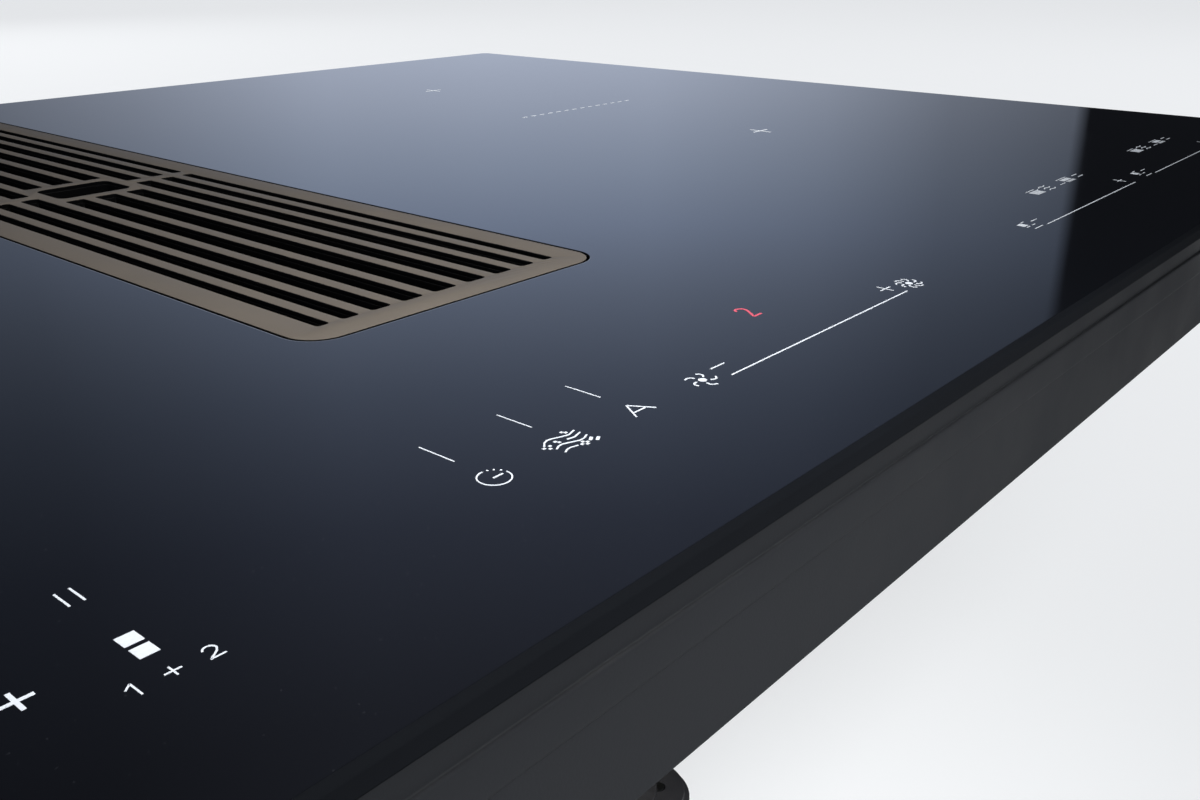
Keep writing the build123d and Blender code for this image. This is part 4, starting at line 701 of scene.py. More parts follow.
@dataclass(frozen=True)
class Finish:
    """A surface finish: what the Principled BSDF gets and the pattern that varies it."""

    name: str
    colour: Colour
    roughness: float = 0.5
    metallic: float = 0.0
    texture: Texture = Texture.GRAIN
    scale: float = 900.0
    relief: float = 0.02 * MM
    tone: float = 0.12
    edge_radius: float = 0.5 * MM
    edge_gain: float = 0.25
    dust: float = 0.1
    coat: float = 0.0
    specular: float = 0.5
    centre: tuple[float, float, float] = (0.0, 0.0, 0.0)
    dust_colour: Colour = (0.32, 0.31, 0.29)
    dust_rough: float = 0.3
    wear: float = 1.5
    bare: float = 0.03
    uneven: float = 0.12
    end_face: float = 0.75
    stretch: float = 40.0

    def pattern(self, wiring: Wiring) -> tuple[Socket, Socket]:
        """Add the pattern's nodes.

        Args:
            wiring: The material's wiring.

        Returns:
            Height and tone, both around 0.5.
        """
        if self.texture is Texture.GRAIN:
            grain = wiring.group(EFFECTS.grain, Vector=wiring.place(), Scale=self.scale)
            return grain["Height"], grain["Tone"]
        if self.texture is Texture.FOAM:
            pores = wiring.noise(wiring.place(), self.scale, 4.0, 0.7)
            return wiring.span(pores, 0.35, 0.6), pores
        return {Texture.DRAWN_X: self._drawn, Texture.DRAWN_Y: self._drawn, Texture.TURNED: self._turned,
                Texture.SPANGLE: self._cells, Texture.FLAKES: self._cells,
                Texture.BOARD: self._tracks}[self.texture](wiring)

    def _drawn(self, wiring: Wiring) -> tuple[Socket, Socket]:
        """Add drawn lines, which run across on the faces that look along them.

        Args:
            wiring: The material's wiring.

        Returns:
            Height and tone.
        """
        along_x, along_y = (1, self.stretch, self.stretch), (self.stretch, 1, self.stretch)
        axis, first, second = ("X", along_x, along_y) if self.texture is Texture.DRAWN_X else (
            "Y", along_y, along_x)
        normal = wiring.xyz(wiring.add("ShaderNodeTexCoord").outputs["Normal"])
        end_face = wiring.math("GREATER_THAN", wiring.math("ABSOLUTE", normal[axis]), self.end_face)
        place = wiring.lean(end_face, wiring.place(scale=first), wiring.place(scale=second))
        lines = wiring.group(EFFECTS.lines, Vector=place, Scale=self.scale)
        return lines["Height"], lines["Tone"]

    def _turned(self, wiring: Wiring) -> tuple[Socket, Socket]:
        """Add rings round the finish's centre.

        Args:
            wiring: The material's wiring.

        Returns:
            Height and tone.
        """
        spot = wiring.xyz(wiring.place(self.centre))
        squares = [wiring.math("POWER", spot[axis], 2.0) for axis in "XY"]
        radius = wiring.math("SQRT", wiring.math("ADD", *squares))
        turns = wiring.math("MULTIPLY", radius, self.scale)
        rise = wiring.math("MULTIPLY", spot["Z"], self.scale)
        ring = wiring.add("ShaderNodeCombineXYZ", {"X": turns, "Y": rise}).outputs[0]
        fine = wiring.noise(ring, 1.0, 2.0, 0.6)
        wave = wiring.math("SINE", turns)
        return wiring.math("ADD", wiring.span(wave, -1.0, 1.0), fine), fine

    def _cells(self, wiring: Wiring) -> tuple[Socket, Socket]:
        """Add crystal cells, each with its own tone.

        Args:
            wiring: The material's wiring.

        Returns:
            Height and tone.
        """
        base = wiring.place()
        wobble = wiring.add("ShaderNodeTexNoise", {"Vector": base, "Scale": self.scale * 0.7})
        bent = wiring.lean(0.006, base, wobble.outputs["Color"])
        spread = 0.9 if self.texture is Texture.SPANGLE else 1.0
        cell = wiring.add("ShaderNodeTexVoronoi", {"Vector": bent, "Scale": self.scale, "Randomness": spread},
                          feature="F1")
        split = wiring.add("ShaderNodeSeparateColor", {0: cell.outputs["Color"]})
        feather = wiring.noise(base, self.scale * 9.0, 2.0)
        return feather, wiring.math("ADD", wiring.math("MULTIPLY", split.outputs[0], 0.8),
                                    wiring.math("MULTIPLY", feather, 0.2))

    def _tracks(self, wiring: Wiring) -> tuple[Socket, Socket]:
        """Add the raised copper tracks of a circuit board.

        Args:
            wiring: The material's wiring.

        Returns:
            Height and tone.
        """
        tracks = wiring.add("ShaderNodeTexBrick", {"Vector": wiring.place(), "Scale": 130.0,
                                                   "Mortar Size": 0.06, "Brick Width": 1.7,
                                                   "Row Height": 0.35})
        patches = wiring.span(wiring.noise(wiring.place(), 60.0, 1.0), 0.48, 0.52)
        tone = wiring.math("MULTIPLY", tracks.outputs["Fac"], patches)
        return tone, tone

    def build(self) -> bpy.types.Material:
        """Build the material.

        Returns:
            The finished material.
        """
        material, wiring, shader = new_material(self.name)
        height, tone = self.pattern(wiring)
        edges = wiring.group(EFFECTS.edges, Radius=self.edge_radius)
        dust = wiring.group(EFFECTS.dust, Vector=wiring.place(), Amount=self.dust)["Mask"]
        dark = tuple(share * (1 - self.tone) for share in self.colour)
        light = tuple(min(1.0, share * (1 + self.tone)) for share in self.colour)
        worn = tuple(min(1.0, share * self.wear + self.bare) for share in self.colour)
        colour = wiring.blend(tone, dark, light)
        colour = wiring.blend(wiring.math("MULTIPLY", edges["Mask"], self.edge_gain), colour, worn)
        rough = wiring.span(tone, 0.0, 1.0, self.roughness * (1 - self.uneven),
                            min(1.0, self.roughness * (1 + self.uneven)))
        dusty = wiring.math("ADD", rough, wiring.math("MULTIPLY", dust, self.dust_rough), clamp=True)
        bump = wiring.add("ShaderNodeBump", {"Strength": 1.0, "Distance": self.relief, "Height": height,
                                             "Normal": edges["Normal"]}).outputs[0]
        wiring.fill(shader, {"Base Color": wiring.blend(dust, colour, self.dust_colour), "Roughness": dusty,
                             "Metallic": self.metallic, "Coat Weight": self.coat,
                             "Specular IOR Level": self.specular, "Normal": bump})
        return material


@dataclass(frozen=True)
class GlassCeramic:
    """Polished black glass-ceramic with a faint film of handling marks."""

    name: str = "glass_ceramic"
    colour: Colour = (0.0022, 0.0025, 0.0034)
    speck_colour: Colour = (0.016, 0.017, 0.020)
    roughness: float = 0.035
    smear: float = 0.05
    index: float = 1.54
    edge_radius: float = 0.35 * MM

    def build(self) -> bpy.types.Material:
        """Build the material.

        Returns:
            The finished material.
        """
        material, wiring, shader = new_material(self.name)
        wide = wiring.span(wiring.noise(wiring.place(), 6.0, 4.0, 0.6), 0.45, 0.75)
        speck = wiring.span(wiring.noise(wiring.place(), 1400.0, 1.0), 0.72, 0.8)
        colour = wiring.blend(wiring.math("MULTIPLY", speck, 0.5), self.colour, self.speck_colour)
        rough = wiring.math("MULTIPLY_ADD", wide, self.smear, self.roughness)
        edges = wiring.group(EFFECTS.edges, Radius=self.edge_radius)
        wiring.fill(shader, {"Base Color": colour, "Roughness": rough, "IOR": self.index,
                             "Normal": edges["Normal"]})
        return material


@dataclass(frozen=True)
class Ink:
    """Ceramic print on the glass with an emission: on the white marks a painted glow that makes them read
    brighter than the light on them, on the red digit the display's own light.
    """

    name: str
    colour: Colour
    led_and_painted_glow: float

    def build(self) -> bpy.types.Material:
        """Build the material.

        Returns:
            The finished material.
        """
        material, wiring, shader = new_material(self.name)
        screen = wiring.span(wiring.noise(wiring.place(), 2500.0, 1.0), 0.3, 0.7, 0.92, 1.0)
        tone = wiring.blend(1.0, self.colour, screen, "MULTIPLY")
        # Emission: painted glow on the white printed marks; on the lit digit it is the display's own light.
        wiring.fill(shader, {"Base Color": tone, "Roughness": 0.45, "Emission Color": tone,
                             "Emission Strength": self.led_and_painted_glow})
        return material


Surface = Finish | GlassCeramic | Ink

FINISHES: dict[str, Surface] = {finish.name: finish for finish in (
    GlassCeramic(),
    Finish("seal_foam", (0.010, 0.010, 0.011), 0.92, texture=Texture.FOAM, scale=1500.0,
           relief=0.25 * MM, dust=0.0, specular=0.2),
    Finish("grille_metal", (0.121, 0.104, 0.086), 0.60, 0.20, Texture.GRAIN, 2600.0, 0.003 * MM, 0.06,
           0.08 * MM, 0.10, 0.0, specular=0.06),
    # On the grille skin's slot walls this near-black, almost unreflective finish is painted shade that makes
    # the slots read black.
    Finish("grille_black", (0.0015, 0.0015, 0.0016), 0.85, relief=0.01 * MM, dust=0.0, specular=0.05),
    Finish("silicone", (0.05, 0.05, 0.052), 0.7, relief=0.01 * MM, dust=0.3),
    Finish("black_moulding", (0.030, 0.030, 0.033), 0.48, scale=1300.0, relief=0.03 * MM,
           edge_radius=0.7 * MM),
    Finish("stainless", (0.60, 0.59, 0.57), 0.28, 1.0, Texture.DRAWN_Y, 60.0, 0.01 * MM, 0.06, 0.3 * MM),
    Finish("grey_moulding", (0.30, 0.31, 0.32), 0.5, scale=1300.0, relief=0.02 * MM,
           edge_radius=0.7 * MM),
    Finish("coated_sheet", (0.014, 0.015, 0.017), 0.62, 0.0, Texture.GRAIN, 1500.0, 0.03 * MM, 0.10,
           0.5 * MM, 0.5, 0.03, specular=0.05),
    Finish("ground_edge", (0.0035, 0.004, 0.005), 0.75, relief=0.004 * MM, dust=0.0, specular=0.02,
           edge_gain=0.0),
    Finish("zinc_sheet", (0.52, 0.54, 0.56), 0.38, 1.0, Texture.SPANGLE, 110.0, 0.004 * MM, 0.16,
           0.4 * MM, 0.2),
    Finish("aluminium_sheet", (0.74, 0.75, 0.76), 0.34, 1.0, Texture.DRAWN_X, 50.0, 0.008 * MM, 0.07),
    Finish("copper_litz", (0.60, 0.24, 0.10), 0.36, 1.0, Texture.TURNED, 2600.0, 0.25 * MM, 0.2),
    Finish("ferrite", (0.07, 0.07, 0.075), 0.6, scale=1600.0, relief=0.05 * MM),
    Finish("mica", (0.60, 0.54, 0.40), 0.35, 0.0, Texture.FLAKES, 160.0, 0.01 * MM, 0.14),
    Finish("white_moulding", (0.74, 0.74, 0.71), 0.45, scale=1300.0, relief=0.015 * MM),
    Finish("circuit_board", (0.020, 0.14, 0.065), 0.32, 0.0, Texture.BOARD, 130.0, 0.06 * MM, 0.4,
           coat=0.4),
    Finish("display_lens", (0.10, 0.008, 0.008), 0.12, relief=0.002 * MM, dust=0.0),
    Finish("motor_steel", (0.42, 0.43, 0.45), 0.32, 1.0, Texture.TURNED, 3500.0, 0.01 * MM, 0.08,
           centre=BLOWER_AXIS),
    Finish("screw_steel", (0.60, 0.58, 0.50), 0.3, 1.0, Texture.GRAIN, 2500.0, 0.004 * MM, 0.08,
           0.2 * MM))}


@cache
def material_of(finish: Surface) -> bpy.types.Material:
    """Build a finish's material when it is first asked for, and keep it."""
    return finish.build()


def paint(piece: Piece, finish: Surface, side: Surface | None = None, level: float = FACING) -> None:
    """Give a piece its finish, and another one on the faces that don't look up.

    Args:
        piece: The piece.
        finish: Its finish.
        side: The finish of the faces that don't look up, where it differs.
        level: How level a face lies, from 0 to 1, to count as looking up.
    """
    piece.data.materials.clear()
    for each in (finish, side) if side else (finish,):
        piece.data.materials.append(material_of(each))
    for face in piece.data.polygons:
        face.material_index = 1 if side and face.normal.z <= level else 0


def settle(piece: Piece, body: str) -> None:
    """Put a finished piece on its body.

    Args:
        piece: The piece.
        body: The body that it rides on.
    """
    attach(piece, body)
    log.info("modelled %s: %d faces", piece.name, len(piece.data.polygons))


def dressed(name: str, node: str, slot: str, body: str, extras: list[Piece],
            base: Piece | None = None) -> None:
    """Join a copy of a CAD node with the details that its moulding or pressing has.

    Args:
        name: Name of the finished piece.
        node: The node that it replaces.
        slot: The record's material slot.
        body: The body that it rides on.
        extras: Details to join.
        base: The copy, where it has been shaped already.
    """
    piece = joined(name, [base or cad_copy(node, name), *extras])
    smooth(piece, CREASE)
    modify(piece, "WEIGHTED_NORMAL", keep_sharp=True, weight=90)
    paint(piece, FINISHES[slot])
    settle(piece, body)


def dress_cad_nodes() -> None:
    """Give every carried-over CAD node the finish of its material slot."""
    for row in frame["record"]["subparts"]:
        node, finish = row["node"], FINISHES[row["material_slot"]]
        if finish.name == "copper_litz":
            low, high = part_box(node)
            finish = replace(finish, name=node.replace("coil_winding", "copper_litz"),
                             centre=tuple((low + high) / 2))
        for slot in bpy.data.objects[node].material_slots:
            slot.material = material_of(finish)
        log.info("dressed %s as %s", node, finish.name)


# ---------------------------------------------------------------- prints on the glass


@dataclass
class Stencil:
    """Flat marks on the glass, drawn in millimetres as thin strips and made solid at the end."""

    name: str
    thickness: float = 0.05 * MM
    piece: Piece = field(init=False)

    def __post_init__(self) -> None:
        """Start the mesh and enter its edit mode."""
        bpy.ops.mesh.primitive_plane_add(size=MM, location=(0, 0, GLASS_TOP))
        self.piece = bpy.context.object
        self.piece.name = self.name
        fix_place(self.piece)
        edit(self.piece)
        bpy.ops.mesh.select_all(action="SELECT")
        bpy.ops.mesh.delete(type="VERT")

    def _strip(self, middle: Vector, length: float, width: float, turn: float) -> None:
        """Add one strip, which stays selected.

        Args:
            middle: Its middle in metres.
            length: Its length in millimetres.
            width: Its width in millimetres.
            turn: Its turn from +X towards +Y in radians.
        """
        spot = (middle.x, middle.y, GLASS_TOP)
        bpy.ops.mesh.select_all(action="DESELECT")
        bpy.ops.mesh.primitive_plane_add(size=MM, location=spot)
        bpy.ops.transform.resize(value=(length, width, 1), center_override=spot)
        bpy.ops.transform.rotate(value=-turn, orient_axis="Z", center_override=spot)

    def bar(self, start: Point2, end: Point2, width: float) -> None:
        """Draw a straight bar between two points."""
        run = Vector(end) - Vector(start)
        self._strip((Vector(start) + Vector(end)) / 2 * MM, run.length, width, math.atan2(run.y, run.x))

    def path(self, points: list[Point2], width: float) -> None:
        """Draw a run of bars from point to point."""
        for start, end in zip(points, points[1:]):
            self.bar(start, end, width)

    def arc(self, centre: Point2, radius: float, width: float, start: float, sweep: float,
            steps: int) -> None:
        """Draw an arc by spinning a short strip's edge.

        Args:
            centre: Centre.
            radius: Radius of the middle line.
            width: Width.
            start: Start angle in degrees, from +X towards +Y.
            sweep: Angle covered in degrees.
            steps: Number of strips along the arc.
        """
        turn = math.radians(start)
        middle = Vector((centre[0] + radius * math.cos(turn), centre[1] + radius * math.sin(turn))) * MM
        self._strip(middle, width, 0.002, turn)
        shape = bmesh.from_edit_mesh(self.piece.data)
        ahead = Vector((-math.sin(turn), math.cos(turn), 0)) * (1 if sweep > 0 else -1)
        strip = next(face for face in shape.faces if face.select)
        front = max(strip.edges, key=lambda edge: (edge.verts[0].co + edge.verts[1].co).dot(ahead))
        bpy.ops.mesh.select_mode(type="EDGE")
        bpy.ops.mesh.select_all(action="DESELECT")
        front.select_set(True)
        bmesh.update_edit_mesh(self.piece.data)
        bpy.ops.mesh.spin(steps=steps, angle=-math.radians(sweep), axis=(0, 0, 1),
                          center=(centre[0] * MM, centre[1] * MM, GLASS_TOP))

    def dot(self, centre: Point2, radius: float) -> None:
        """Draw a round dot."""
        bpy.ops.mesh.select_all(action="DESELECT")
        bpy.ops.mesh.primitive_circle_add(vertices=10, radius=radius * MM, fill_type="NGON",
                                          location=(centre[0] * MM, centre[1] * MM, GLASS_TOP))

    def plus(self, centre: Point2, size: float, width: float) -> None:
        """Draw a plus sign or a cross.

        Args:
            centre: Centre.
            size: Reach of the sign from end to end.
            width: Width of its bars.
        """
        x, y = centre
        self.bar((x - size / 2, y), (x + size / 2, y), width)
        self.bar((x, y + width / 2), (x, y + size / 2), width)
        self.bar((x, y - size / 2), (x, y - width / 2), width)

    def finish(self, ink: Ink) -> None:
        """Give the marks their thickness, ink and body.

        Args:
            ink: The print's material.
        """
        bpy.ops.mesh.select_all(action="SELECT")
        bpy.ops.mesh.remove_doubles(threshold=0.0005 * MM)
        if pick(self.piece, "FACE", lambda face: face.normal.z < 0):
            bpy.ops.mesh.flip_normals()
        leave_edit()
        modify(self.piece, "SOLIDIFY", thickness=self.thickness, offset=1)
        paint(self.piece, ink)
        settle(self.piece, "housing")


@dataclass
class GlassPrints:
    """The printed and lit marks on the glass. All lengths are in millimetres."""

    key_y: float = -220.9
    slider_y: float = -223.5
    sign_y: float = -218.7
    row_y: float = -204.6
    line: float = 0.32
    fine: float = 0.26
    track: float = 0.33
    lit: float = 0.6
    # The white inks' glow is painted light that brightens the printed marks; the red digit's glow is its
    # display's own light.
    white: Ink = Ink("print_white", (0.47, 0.495, 0.53), 0.30)
    zone_white: Ink = Ink("print_zone_white", (0.78, 0.81, 0.85), 0.40)
    red: Ink = Ink("digit_red", (0.42, 0.06, 0.09), 0.38)
    zone_x: float = 241.0
    zone_rear_y: float = 133.0
    zone_front_y: float = -70.0
    zone_line: float = 0.7

    def build(self) -> None:
        """Draw every group of marks."""
        self.extractor_keys()
        self.pause_keys()
        for side, name in ((1, "right"), (-1, "left")):
            self.zone_keys(side, name)
        self.zone_marks()
        self.digit()

    def timer(self, marks: Stencil, centre: Point2, radius: float) -> None:
        """Draw a clock: a ring, broken at the upper right, with one hand.

        Args:
            marks: Where it is drawn.
            centre: Centre of the ring.
            radius: Radius of the ring.
        """
        marks.arc(centre, radius, self.fine, 88, 275, 28)
        for start in (20, 44, 66):
            marks.arc(centre, radius, self.line, start, 7, 2)
        x, y = centre
        marks.bar((x - radius * 0.1, y), (x + radius * 0.66, y), self.line)

    def filter_sign(self, marks: Stencil, centre: Point2) -> None:
        """Draw the filter sign: four waves with groups of square dots between them.

        Args:
            marks: Where it is drawn.
            centre: Middle of the sign.
        """
        x, y = centre
        waves = (((-4.1, 1.9), (-3.0, 2.9), (-1.9, 3.3), (-0.6, 3.0), (0.7, 2.5), (2.1, 2.1), (4.1, 2.7)),
                 ((0.5, 1.1), (2.1, 0.8), (4.1, 1.4)),
                 ((-3.5, -0.3), (-2.4, 0.3), (-1.4, 0.4), (0.2, -0.2), (1.7, -0.8), (2.8, -0.7), (4.1, -0.1)),
                 ((-3.4, -2.1), (-2.4, -1.6), (-1.4, -1.5), (0.0, -1.9)))
        for wave in waves:
            marks.path([(x + across, y + up) for across, up in wave], self.line)
        for across, up in ((-4.7, 1.4), (-3.3, 1.4), (-4.0, 0.6), (-1.5, 1.9), (-1.2, 1.25), (2.0, 3.7),
                           (2.4, 3.1), (0.7, -2.1), (1.4, -2.7), (1.5, -1.5), (2.0, -2.1)):
            marks.bar((x + across - 0.3, y + up), (x + across + 0.3, y + up), 0.5)
        for across, up in ((3.3, -1.7), (4.2, -2.5)):
            marks.bar((x + across - 0.55, y + up - 0.35), (x + across + 0.55, y + up + 0.35), 0.6)

    def fan(self, marks: Stencil, centre: Point2, radius: float, blades: int) -> None:
        """Draw a fan: hooked blades round a filled hub.

        Args:
            marks: Where it is drawn.
            centre: Middle of the fan.
            radius: Reach of the blades.
            blades: Number of blades.
        """
        x, y = centre
        marks.dot(centre, radius * 0.27)
        for number in range(blades):
            start = 30 + 360 * number / blades
            hook = []
            for reach, turn in ((0.48, 0), (0.74, 3), (0.92, 14), (1.0, 30)):
                along = math.radians(start + turn)
                hook.append((x + radius * reach * math.cos(along), y + radius * reach * math.sin(along)))
            marks.path(hook, self.line * 1.2)

    def extractor_keys(self) -> None:
        """Draw the middle group: ticks, timer, filter, automatic, fan and its slider."""
        marks = Stencil("print_extractor_keys")
        for x in (-63.8, -46.1, -28.3):
            marks.bar((x, -203.6), (x, -212.0), self.fine)
        self.timer(marks, (-63.7, self.key_y), 2.75)
        self.filter_sign(marks, (-46.4, self.key_y))
        marks.path([(-31.1, -222.6), (-28.3, -218.0), (-25.5, -222.6)], self.line)
        marks.bar((-29.9, -221.1), (-26.7, -221.1), self.line)
        self.fan(marks, (-9.4, self.key_y), 3.25, 5)
        marks.bar((-3.6, self.sign_y), (0.8, self.sign_y), self.line)
        marks.bar((-3.6, self.slider_y), (68.1, self.slider_y), self.track)
        marks.plus((66.3, -218.8), 4.4, self.line)
        self.fan(marks, (74.1, self.key_y), 3.4, 8)
        marks.finish(self.white)

    def pause_keys(self) -> None:
        """Draw the group left of the middle: pause, the joined zones with plain numbers, a plus."""
        marks = Stencil("print_pause_keys")
        for x in (-123.6, -121.6):
            marks.bar((x, -202.6), (x, -206.8), self.line)
        for y in (-219.1, -222.6):
            marks.bar((-123.8, y), (-121.2, y), 2.6)
        marks.plus((-136.7, self.key_y), 4.2, 0.6)
        marks.path([(-128.0, -228.3), (-127.0, -227.4), (-127.0, -230.2)], self.fine)
        marks.plus((-122.5, -228.8), 2.2, self.fine)
        marks.arc((-117.5, -228.3), 0.85, self.fine, 165, -175, 10)
        marks.path([(-116.66, -228.4), (-117.0, -229.0), (-118.4, -230.1)], self.fine)
        marks.bar((-118.5, -230.1), (-116.4, -230.1), self.fine)
        marks.finish(self.white)

    def zone_keys(self, side: int, name: str) -> None:
        """Draw the two sliders of one side with their signs.

        Args:
            side: 1 for the right side, -1 for the left.
            name: Name of the side.
        """
        marks = Stencil(f"print_zone_keys_{name}")
        for start, end in ((154.7, 232.1), (253.4, 330.8)):
            low, high = (start, end) if side > 0 else (-end, -start)
            marks.bar((low, self.slider_y), (high, self.slider_y), self.track)
            marks.bar((low, self.sign_y), (low + 4.0, self.sign_y), self.line)
            marks.plus((high - 0.9, self.sign_y), 4.2, self.line)
            self.zone_sign(marks, (low - 5.2, -219.6))
            self.function_row(marks, (low + high) / 2)
        marks.finish(self.white)

    def zone_sign(self, marks: Stencil, centre: Point2) -> None:
        """Draw which zone a slider sets: a filled field beside an open one, over a base line.

        Args:
            marks: Where it is drawn.
            centre: Middle of the sign.
        """
        x, y = centre
        marks.bar((x - 2.4, y + 0.9), (x + 0.1, y + 0.9), 2.4)
        for left, right, up in ((1.1, 3.0, 2.3), (1.1, 3.0, -1.1), (-2.7, -0.7, -1.1), (-2.6, 2.8, -3.4)):
            marks.bar((x + left, y + up), (x + right, y + up), self.line)

    def function_row(self, marks: Stencil, middle: float) -> None:
        """Draw the small function signs above a slider: pan, heat, step, pot and timer bars.

        Args:
            marks: Where they are drawn.
            middle: X of the row's middle.
        """
        y = self.row_y
        pan, heat, pot = middle + 2.2, middle + 10.7, middle + 27.9
        for first, pitch, count, low, high in ((pan - 3.3, 1.05, 6, -2.1, 1.3),
                                               (pot - 2.6, 1.3, 5, -2.2, -0.9)):
            for slat in range(count):
                marks.bar((first + pitch * slat, y + low), (first + pitch * slat, y + high), 0.62)
        marks.bar((pan - 3.9, y + 2.2), (pan + 2.7, y + 2.2), self.line)
        marks.bar((pan + 2.4, y + 0.8), (pan + 3.9, y + 1.4), self.line)
        for row in (-1.9, 0.0, 1.9):
            marks.path([(heat - 2.8, y + row - 0.2), (heat - 1.0, y + row + 0.4), (heat + 1.0, y + row - 0.3),
                        (heat + 2.8, y + row + 0.3)], self.line * 1.3)
        marks.bar((middle + 18.2, y - 1.6), (middle + 22.4, y - 1.6), self.line)
        marks.bar((pot - 3.1, y + 0.4), (pot + 3.1, y + 0.4), 1.7)
        marks.bar((pot - 4.1, y + 2.0), (pot + 4.1, y + 2.0), self.line)
        for row in (-1.2, 1.0):
            marks.bar((middle + 35.6, y + row), (middle + 39.8, y + row), self.line * 1.2)

    def zone_marks(self) -> None:
        """Draw the cross in the middle of each zone and the line between two zones."""
        marks = Stencil("print_zone_marks")
        bridge_y = (self.zone_front_y + self.zone_rear_y) / 2
        for side in (-1, 1):
            for y in (self.zone_front_y, self.zone_rear_y):
                marks.plus((side * self.zone_x, y), 10.0, self.zone_line)
            for dash in range(14):
                x = side * self.zone_x - 36.0 + 5.54 * dash
                marks.bar((x - 1.35, bridge_y), (x + 1.35, bridge_y), self.zone_line)
        marks.finish(self.zone_white)

    def digit(self) -> None:
        """Draw the lit level, a plain two."""
        marks = Stencil("lit_digit", 0.04 * MM)
        marks.arc((30.5, -202.6), 1.35, self.lit, 165, -175, 12)
        marks.path([(31.83, -202.9), (31.3, -203.9), (29.2, -206.7)], self.lit)
        marks.bar((28.95, -206.95), (31.9, -206.95), self.lit)
        marks.finish(self.red)


# ---------------------------------------------------------------- glass and grille


@dataclass(frozen=True)
class TopPiece:
    """A piece of the upper face, with one finish on top and another at its edges and openings."""

    name: str
    node: str
    slot: str
    side: str
    body: str
    level: float = FACING
    edge: float = 0.0
    crease: float = 20.0

    def build(self) -> None:
        """Model the piece from its CAD node."""
        piece = cad_copy(self.node, self.name)
        if self.edge:
            round_edges(piece, self.edge)
        else:
            smooth(piece, self.crease)
        paint(piece, FINISHES[self.slot], FINISHES[self.side], self.level)
        settle(piece, self.body)


# ---------------------------------------------------------------- housing


@dataclass(frozen=True)
class BlowerHousing:
    """The black mouldings of the blower: scroll, plenum tub, air well and duct spigot."""

    lip: float = 1.6 * MM
    lip_height: float = 3.0 * MM
    scroll_rib: Rib = Rib(44 * MM, 118 * MM)
    scroll_middle: float = 80 * MM
    scroll_turns: range = range(-205, 45, 13)
    tub_rib: Rib = Rib(2 * MM, 31 * MM, 2.0 * MM)
    tub_middle: float = 16 * MM
    tub_left: range = range(-140, 221, 30)
    tub_right: tuple[int, ...] = (-140, -110, 180, 210)
    tub_back: range = range(-42, 43, 28)
    tub_turns: range = range(-100, 101, 20)
    well_rib: Rib = Rib(48 * MM, 146 * MM, 2.2 * MM)
    well_middle: float = 100 * MM
    well_sides: range = range(-120, 186, 38)
    well_ends: range = range(-30, 31, 30)
    bead: float = 0.8 * MM
    bead_width: float = 2.5 * MM
    bead_steps: tuple[float, ...] = (10 * MM, 20 * MM)

    def build(self) -> None:
        """Model all four mouldings."""
        self.scroll()
        self.tub()
        self.well()
        self.spigot()

    @staticmethod
    def towards_axis(turns: Iterable[float], height: float) -> list[Ray]:
        """Give rays that run from outside towards the blower's axis.

        Args:
            turns: Angle of each ray in degrees, from +X towards +Y.
            height: Height of the rays.

        Returns:
            Start and direction of each ray.
        """
        middle = Vector((*BLOWER_AXIS[:2], height))
        ways = [Vector((math.cos(math.radians(turn)), math.sin(math.radians(turn)), 0)) for turn in turns]
        return [(middle + way * FAR, -way) for way in ways]

    @staticmethod
    def outside(plan: BVHTree) -> Callable[[Vector, Vector], bool]:
        """Give a test for wall faces that look out of an outline.

        Args:
            plan: Surface whose outline from above is the outline.

        Returns:
            The test.
        """
        def test(middle: Vector, normal: Vector) -> bool:
            """Look whether a step along the normal leaves the outline."""
            step = middle + normal * MM
            return plan.ray_cast(Vector((step.x, step.y, -1)), unit(2))[0] is None
        return test

    def scroll(self) -> None:
        """Model the scroll's wall with a lip at its top and foot and ribs round it."""
        low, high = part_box("scroll_wall")
        wall = cad_copy("scroll_wall", "scroll_shell")
        test = self.outside(surface("scroll_cover"))
        band(wall, 2, low.z, low.z + self.lip_height, self.lip, test)
        band(wall, 2, high.z - self.lip_height, high.z, self.lip, test)
        rays = self.towards_axis(self.scroll_turns, self.scroll_middle)
        ribs = self.scroll_rib.row(surface("scroll_wall"), rays)
        dressed("scroll_shell", "scroll_wall", "black_moulding", "housing", ribs, wall)

    def tub(self) -> None:
        """Model the plenum tub with its rim and ribs."""
        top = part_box("plenum_tub")[1].z
        tub = cad_copy("plenum_tub", "tub_shell")
        faces = surface("plenum_tub")
        band(tub, 2, top - self.lip_height, top, self.lip, self.outside(faces))
        rays = level_rays(0, 1, in_metres(self.tub_left), self.tub_middle)
        rays += level_rays(0, -1, in_metres(self.tub_right), self.tub_middle)
        rays += level_rays(1, -1, in_metres(self.tub_back), self.tub_middle)
        rays += self.towards_axis(self.tub_turns, self.tub_middle)
        dressed("tub_shell", "plenum_tub", "black_moulding", "housing", self.tub_rib.row(faces, rays), tub)

    def well(self) -> None:
        """Model the air well with upright ribs on its four sides."""
        rays = []
        for heading in (1, -1):
            rays += level_rays(0, heading, in_metres(self.well_sides), self.well_middle)
            rays += level_rays(1, heading, in_metres(self.well_ends), self.well_middle)
        ribs = self.well_rib.row(surface("well_body"), rays)
        dressed("well_shell", "well_body", "black_moulding", "housing", ribs)

    def spigot(self) -> None:
        """Model the duct spigot with its two sealing beads."""
        low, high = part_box("outlet_spigot")
        middle = (low + high) / 2
        spigot = cad_copy("outlet_spigot", "duct_spigot")

        def away(place: Vector, normal: Vector) -> bool:
            """Look whether a wall face looks away from the duct's axis."""
            return (place.x - middle.x) * normal.x + (place.z - middle.z) * normal.z > 0

        for step in self.bead_steps:
            band(spigot, 1, high.y - step, high.y - step + self.bead_width, self.bead, away)
        dressed("duct_spigot", "outlet_spigot", "black_moulding", "housing", [], spigot)


